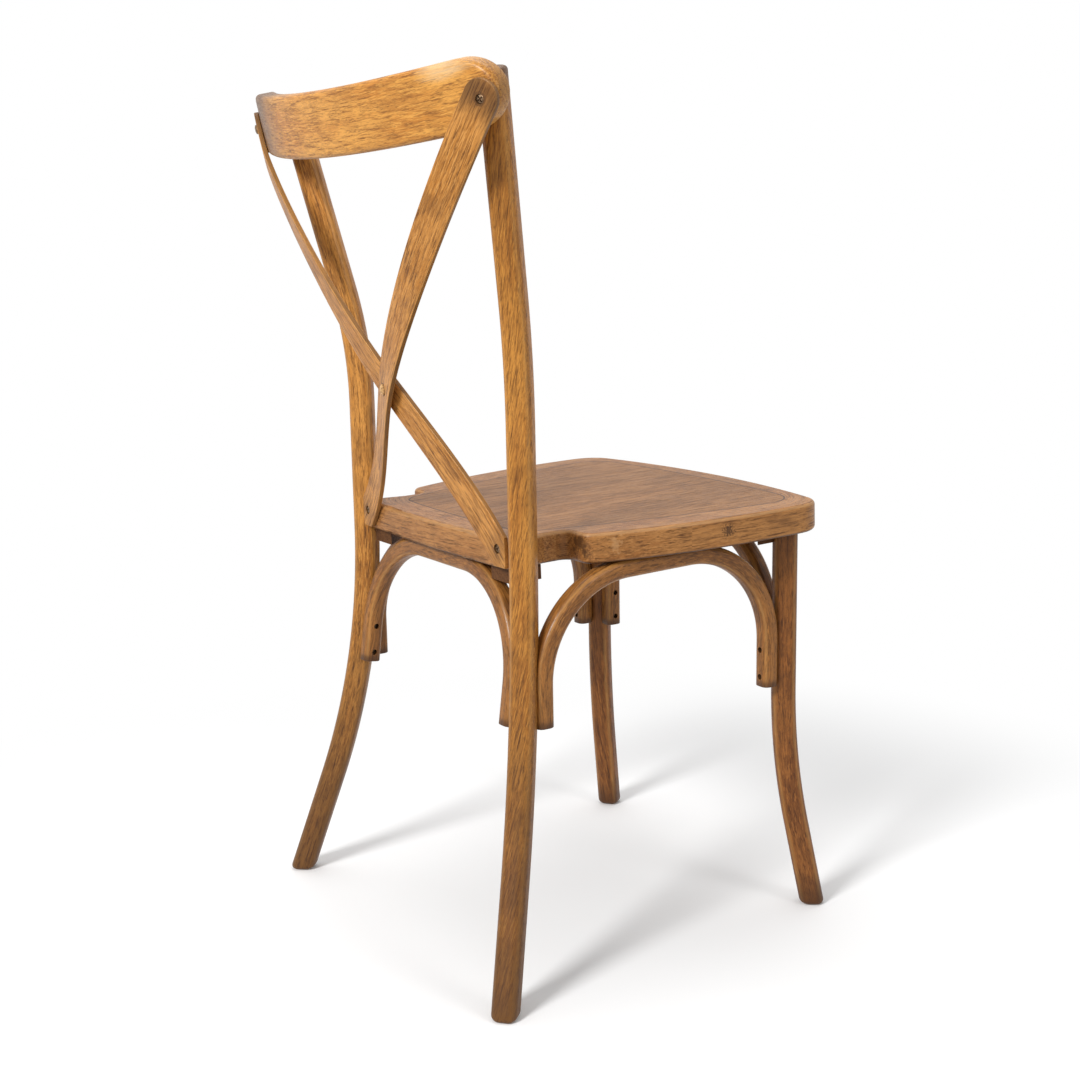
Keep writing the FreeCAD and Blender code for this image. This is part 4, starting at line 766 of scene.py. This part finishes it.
def onStrip(strip, along, across, rise):
    # a point of the bent strip: line + side × across + normal × rise, at a length along it
    def at(name):
        return np.stack([np.interp(along, strip["s"], row) for row in strip[name].T], axis=-1)
    return at("line") + at("side") * across[..., None] + at("normal") * rise[..., None]


def braceEnd(strip, across):
    # how far the strip reaches at each distance across: the last of 400 steps over the seat's
    # underside and clear of the post
    slope = math.radians(seat["tilt"])
    tries = np.linspace(strip["s"][-2] - 60, strip["s"][-1], 400)
    along, beside = np.meshgrid(tries, across, indexing="ij")
    points = onStrip(strip, along, beside, 0 * along)
    under = seat["height"] - seat["thickness"] / math.cos(slope) - points[..., 1] * math.tan(slope)
    clear = (points[..., 2] > under + brace["short"]) & (np.abs(points[..., 0]) < brace["postGap"])
    return tries[np.argmin(clear, axis=0) - 1]


def braceOutline(strip, count=110):
    # long sides, a bottom end trimmed to the rail's underside, and a rounded top end whose
    # corners are r × cos and r × sin round their centres
    half, r = brace["width"] / 2, brace["endRadius"]
    inTop = r - brace["reach"]
    across = np.linspace(-half, half, 14)
    bottom = np.stack([braceEnd(strip, across), across], axis=1)
    left = np.stack([np.linspace(inTop, bottom[0, 0], count), np.full(count, -half)], axis=1)
    right = np.stack([np.linspace(bottom[-1, 0], inTop, count), np.full(count, half)], axis=1)
    turn = np.radians(np.linspace(90, 180, 9)[1:])
    upper = np.stack([inTop + r * np.cos(turn), half - r + r * np.sin(turn)], axis=1)
    corners = np.concatenate([upper, upper[::-1] * (1, -1)])
    outline = np.concatenate([left, bottom[1:-1], right, corners])
    inLow = bottom[:, 0].min() - 14
    inner = np.linspace(inTop, inLow, count)
    inner = np.concatenate([inner, np.full(12, inLow), inner[::-1], np.full(len(corners), inTop)])
    return outline, np.stack([inner, 0 * inner], axis=1)


def makeStrip(layer, strip):
    # one crossed strip, bored for its screws
    low = strip["s"][-2]
    inTop, flatEnd = brace["endRadius"] - brace["reach"], brace["width"] / 2 - brace["endRadius"]
    holes = [(strip[end] + strip[end + "Normal"] * start, strip[end + "Normal"], radius, length)
             for end, start, radius, length in brace["bores"]]

    def place(along, across, deep):
        return onStrip(strip, along, across, brace["thickness"] / 2 - deep)

    def glaze(grain):
        # darker at both ends and on the sawn edges, which lie past the pale arrises
        across, along = np.abs(grain[:, 0]), grain[:, 2]
        rounded = np.hypot(along - inTop, np.clip(across - flatEnd, 0, None)) + flatEnd
        out = np.where(along < inTop, rounded, across)
        sawn = brace["sawnEdge"] * np.clip((out - brace["width"] / 2 + 0.2) / 0.1, 0, 1)
        return np.maximum(sawn, sum(fading(along, [brace["topGlaze"], (low, *brace["lowGlaze"])])))

    def lay(points):
        # grain of any points: their nearest row of the line, and how far off it they lie
        near = ((points[:, None] - strip["line"][None, ::3]) ** 2).sum(2).argmin(1) * 3
        away = points - strip["line"][near]
        off = [(away * strip[name][near]).sum(1) for name in ("side", "normal", "way")]
        return np.stack([off[0], brace["thickness"] / 2 - off[1], strip["s"][near] + off[2]],
                        axis=-1)

    plank("crossBrace_" + layer, *braceOutline(strip), brace, place, oaks["Braces"],
          "brace_wood", ["cross_brace_" + layer], glaze, holes, lay)


strips = {"inner": braceLine(1, 0), "outer": braceLine(-1, brace["thickness"] + brace["gap"])}
for layer, strip in strips.items():
    makeStrip(layer, strip)
print("braces made")

# feet and crowns are (y, z) of the centre line; bores are as high above the foot as screwRises
arch = {"width": 20, "corner": 7.0, "edge": 0.8, "bend": 106, "step": 4.0,
        "front": {"endX": 150.07, "foot": (-186.6, 257), "crown": (-186.6, 419.0)},
        "rear": {"endX": 152.0, "foot": (152.1, 265), "crown": (132.6, 411.3)},
        "side": {"x": 175.9, "frontFoot": (-161.7, 257), "rearFoot": (128.8, 265),
                 "crown": 413.83},
        "endGlaze": [(9, 0.8), (60, 0.2)], "screwRises": (11.0, 41.0), "boreStart": 4.4,
        "boreRadius": 3.1, "boreLength": 12, "screwStart": 1.0}
archScrews = []


def makeArch(name, node, first, flat, last, slope, origin, outward, up):
    # up one foot, round a bend, over the crown and down the other foot; where the crown slopes,
    # the first bend turns more and the last one less. Two screws go into each foot's inner face.
    bend = arch["bend"]
    path = bentPath(0, [(first, 0), (bend * (math.pi / 2 + slope), bend), (flat, 0),
                        (bend * (math.pi / 2 - slope), bend), (last, 0)], arch["step"])
    origin, outward, up = (np.asarray(v, float) for v in (origin, outward, up))
    far, end = origin + outward * path["flat"][-1] + up * path["rise"][-1], path["s"][-1]
    holes = [(foot + way * (arch["width"] / 2) + up * rise - way * arch["boreStart"], way,
              arch["boreRadius"], arch["boreLength"])
             for foot, way in ((origin, outward), (far, -outward)) for rise in arch["screwRises"]]
    glazeAt = [(at, *spot) for spot in arch["endGlaze"] for at in (0, end)]
    bentStick(name, path, origin, outward, arch, oaks["Arches"], "arch_wood", [node], glazeAt,
              holes, up)
    archScrews.extend((hole[0] + hole[1] * arch["screwStart"], hole[1]) for hole in holes)


for end in ("front", "rear"):
    (footY, footZ), (crownY, crownZ) = arch[end]["foot"], arch[end]["crown"]
    lean = math.atan2(footY - crownY, crownZ - footZ)
    rise = (crownZ - footZ) / math.cos(lean) - arch["bend"]
    endX = arch[end]["endX"]
    makeArch(end + "Arch", end + "_arch", rise, 2 * endX - 2 * arch["bend"], rise, 0.0,
             (-endX, footY, footZ), (1, 0, 0), (0, -math.sin(lean), math.cos(lean)))

# the side arches' crowns follow the seat's slope
slope, bend, beside = math.radians(seat["tilt"]), arch["bend"], arch["side"]
frontY = beside["frontFoot"][0] + bend * (1 + math.sin(slope))
rearY = beside["rearFoot"][0] - bend * (1 - math.sin(slope))
frontTop, rearTop = (beside["crown"] - y * math.tan(slope) - bend * math.cos(slope)
                     for y in (frontY, rearY))
for side, sign in sides.items():
    makeArch("sideArch_" + side, "side_arch_" + side, frontTop - beside["frontFoot"][1],
             (rearY - frontY) / math.cos(slope), rearTop - beside["rearFoot"][1], slope,
             (sign * beside["x"], *beside["frontFoot"]), (0, 1, 0), (0, 0, 1))
print("arches made")

# heads are (radius, dome, slot); lifts are how far they stand out. The far top screw isn't
# driven home, and stands out of its recess. The shank is (height, radius) of its rows.
screw = {"sides": 48, "archHead": (2.95, 0.7, 1.2), "topHead": (4.9, 1.2, 1.6),
         "lowHead": (4.4, 1.2, 1.6), "topLift": {"inner": 6.8, "outer": 3.5},
         "lowLift": {"inner": 3.7, "outer": 3.7},
         "shank": ((-1.7, 0), (-1.7, 1.9), (-23, 1.6), (-26, 0))}
plug = {"head": (6.1, 2.2, 0), "length": 13.6, "rise": 1.1}
# a thin disc of painted shadow round the plug
plugRimShadow = {"head": (7.0, 0.1, 0), "length": 0.6, "rise": 0.12}


def screwHead(way, centre, radius, dome, slot, deep=1.6):
    # polar grid: a head of height dome × (1 - (r / radius)²) that falls in a cross-shaped drive
    # slot, whose arms are 1.2 mm wide and reach two thirds of the way out, then its side and a
    # flat underside, so that it closes
    reach = np.concatenate([np.linspace(0, 0.72, 13), np.linspace(0.76, 1, 6)]) * radius
    turn = np.linspace(0, 2 * np.pi, screw["sides"], endpoint=False)
    r, t = np.meshgrid(reach, turn, indexing="ij")
    x, y = r * np.cos(t), r * np.sin(t)
    arm = np.minimum(np.abs(x), np.abs(y))
    fall = slot * np.clip((0.62 - arm) / 0.25, 0, 1) * np.clip((radius * 0.66 - r) / 0.5, 0, 1)
    top = np.stack([x, y, dome * (1 - (r / radius) ** 2) - fall], axis=-1)
    rim = np.stack([x[-1], y[-1], np.full_like(x[-1], -deep)], axis=-1)[None]
    rows = np.concatenate([top, rim, rim * (0, 0, 1)])
    way, across, other = axesAlong(way)
    return (np.asarray(centre, float) + rows[..., :1] * across + rows[..., 1:2] * other
            + rows[..., 2:] * way).reshape(-1, 3)


def screwGroup(name, node, places, head, look):
    # the heads of one node together, each with its tapered shank behind it
    points, faces, start = [], [], 0
    for centre, way in places:
        for part in (screwHead(way, centre, *head),
                     roundRows(centre, way, screw["shank"], screw["sides"])):
            points.append(part)
            faces.append(loopFaces(len(part) // screw["sides"], screw["sides"]) + start)
            start += len(part)
    makePiece(name, np.concatenate(points), np.concatenate(faces), {}, look, "screw_steel", [node])


screwGroup("archEndScrews", "arch_end_screws", archScrews, screw["archHead"], darkSteel)
for end, word in (("top", "top"), ("low", "bottom")):
    places = [(strips[layer][end] + strips[layer][end + "Normal"] * lift,
               strips[layer][end + "Normal"]) for layer, lift in screw[end + "Lift"].items()]
    screwGroup("brace%sScrews" % word.capitalize(), "brace_%s_screws" % word, places,
               screw[end + "Head"], zinc)

# a wooden plug through both strips where they cross, its end a little proud of a ring of painted
# shadow
face = strips["outer"]["middleNormal"]
for name, shape, look, slot, replaced in (
        ("braceCrossingPlug", plug, plugOak, "plug_wood", ["brace_crossing_plug"]),
        ("plugRimPaintedShadow", plugRimShadow, gapShade, "brace_wood", [])):
    centre = strips["outer"]["middle"] + face * (brace["thickness"] / 2 + shape["rise"])
    points = screwHead(face, centre, *shape["head"], shape["length"])
    makePiece(name, points, loopFaces(len(points) // screw["sides"], screw["sides"]), {}, look,
              slot, replaced)
print("screws and plug made")

# the CAD nodes that stay, by a word in their names
finishes = {"screws": zinc, "bolts": zinc, "nuts": zinc, "dowels": plugOak,
            "corner_block": shadedBlockOak, "seat_panel": panelOak, "_rail": ringOak}
for name, node in nodes.items():
    finish = next((finishes[word] for word in finishes if word in name), None)
    if finish:
        node.data.materials.clear()
        node.data.materials.append(finish)


def panelRim(mesh):
    # the loop of points where the panel's level top meets its rounded edge, in walking order:
    # the sides of its level triangles that no other of them shares
    merged, group = np.unique(np.round(pointsOf(mesh), 3), axis=0, return_inverse=True)
    corners = np.zeros(len(mesh.loops), int)
    mesh.loops.foreach_get("vertex_index", corners)
    normals = np.zeros(len(mesh.polygons) * 3)
    mesh.polygons.foreach_get("normal", normals)
    level = normals.reshape(-1, 3)[:, 2] > 0.9985  # within 3 degrees
    corners = group.ravel()[corners].reshape(-1, 3)[level]
    ways = np.stack([corners, np.roll(corners, -1, axis=1)], axis=-1).reshape(-1, 2).tolist()
    shared = {(b, a) for a, b in ways}
    after = {a: b for a, b in ways if (a, b) not in shared}
    loop = [next(iter(after))]
    while after[loop[-1]] != loop[0] and len(loop) < len(after):
        loop.append(after[loop[-1]])
    return merged[loop]


# the dark line of painted shade round the seat panel, as (distance outwards, height) of its
# corners
grooveShape = ((-0.4, -0.3), (-0.4, 0.03), (1.5, 0.03), (1.5, -0.3))
rim = panelRim(nodes["seat_panel"].data)
along = unitOf(np.roll(rim, -1, axis=0) - np.roll(rim, 1, axis=0))
level = np.array([0, math.sin(slope), math.cos(slope)])
outward = unitOf(np.cross(along, level))
line = np.stack([rim + outward * across + level * high for across, high in grooveShape])
line = np.concatenate([line, line[:1]])
makePiece("panelGroovePaintedShade", line.reshape(-1, 3), loopFaces(5, len(rim)), {}, gapShade,
          "seat_wood")
print("panel line made:", len(rim), "points")

# lengths in metres; between near and far the floor turns to the background
stage = {"size": 6, "near": 0.45, "far": 1.0, "colour": (0.93, 0.93, 0.93, 1), "light": 0.5}


def whiteRays(add):
    # strength 1 where the camera, a reflection or glass sees the background, else its light
    rays = add("LightPath").outputs
    seen = add("Math", rays["Is Camera Ray"], rays["Is Glossy Ray"], operation="MAXIMUM")
    seen = add("Math", seen, rays["Is Transmission Ray"], operation="MAXIMUM")
    return add("MapRange", seen, 0, 1, stage["light"], 1.0, **smooth)


def paleStage():
    # past the shadow the floor gives off the background's own white, so no horizon shows
    size = stage["size"]
    mesh = bpy.data.meshes.new("floor")
    mesh.from_pydata([(-size, -size, 0), (size, -size, 0), (size, size, 0), (-size, size, 0)], [],
                     [(0, 1, 2, 3)])
    floor = addObject("floor", mesh)
    material, add = emptyMaterial("paleFloor")
    reach = add("VectorMath", add("TexCoord").outputs["Object"], operation="LENGTH")
    add("OutputMaterial",
        add("MixShader", add("MapRange", reach, stage["near"], stage["far"], 0, 1, **smooth),
            add("BsdfDiffuse", stage["colour"]),
            add("Emission", at={"Strength": whiteRays(add)})))
    mesh.materials.append(material)


paleStage()
scene = bpy.context.scene
world = bpy.data.worlds.new("studio")
scene.world = world
world.use_nodes = True
world.node_tree.nodes.clear()
add = partial(addNode, world.node_tree)
add("OutputWorld", add("Background", (1, 1, 1, 1), whiteRays(add)))

# place and target in metres, the disk's diameter in metres, and its power in watts
lights = {"keyLight": ((-0.9, 2.7, 2.2), (0, 0, 0.5), 0.9, 92),
          "sideLight": ((-3.0, -0.8, 1.7), (0, 0, 0.5), 1.2, 20),
          "topLight": ((0.5, -0.3, 3.0), (0, 0, 0.4), 1.8, 24)}
for name, (place, target, size, power) in lights.items():
    lamp = bpy.data.lights.new(name, "AREA")
    lamp.shape, lamp.size, lamp.energy = "DISK", size, power
    holder = addObject(name, lamp)
    holder.location = place
    holder.rotation_euler = (Vector(target) - Vector(place)).to_track_quat("-Z", "Y").to_euler()

# distance and target in millimetres, focal length and frame in the photo's pixels
camera = {"azimuth": 237.20, "elevation": 11.23, "distance": 1811, "focal": 1622,
          "target": (22.3, -20.3, 406.6), "roll": -1.04, "frame": 1080, "sensor": 36}


def placeCamera():
    # The photo's viewpoint, found by fitting the chair's outline in perspective: the camera is
    # tipped up from looking straight down, turned about the upright, and rolled on its own axis.
    turn, rise, roll = (math.radians(camera[key]) for key in ("azimuth", "elevation", "roll"))
    facing = (Matrix.Rotation(turn, 3, "Z") @ Matrix.Rotation(math.pi / 2 - rise, 3, "X")
              @ Matrix.Rotation(roll, 3, "Z"))
    lens = bpy.data.cameras.new("camera")
    lens.sensor_width = camera["sensor"]
    lens.lens = camera["focal"] / camera["frame"] * camera["sensor"]
    lens.clip_start, lens.clip_end = 0.05, 50
    holder = addObject("camera", lens)
    place = (Vector(camera["target"]) + facing.col[2] * camera["distance"]) * mm
    holder.matrix_world = Matrix.Translation(place) @ facing.to_4x4()
    bpy.context.scene.camera = holder


placeCamera()
scene.view_settings.view_transform = "Standard"
print("stage, light and camera made")
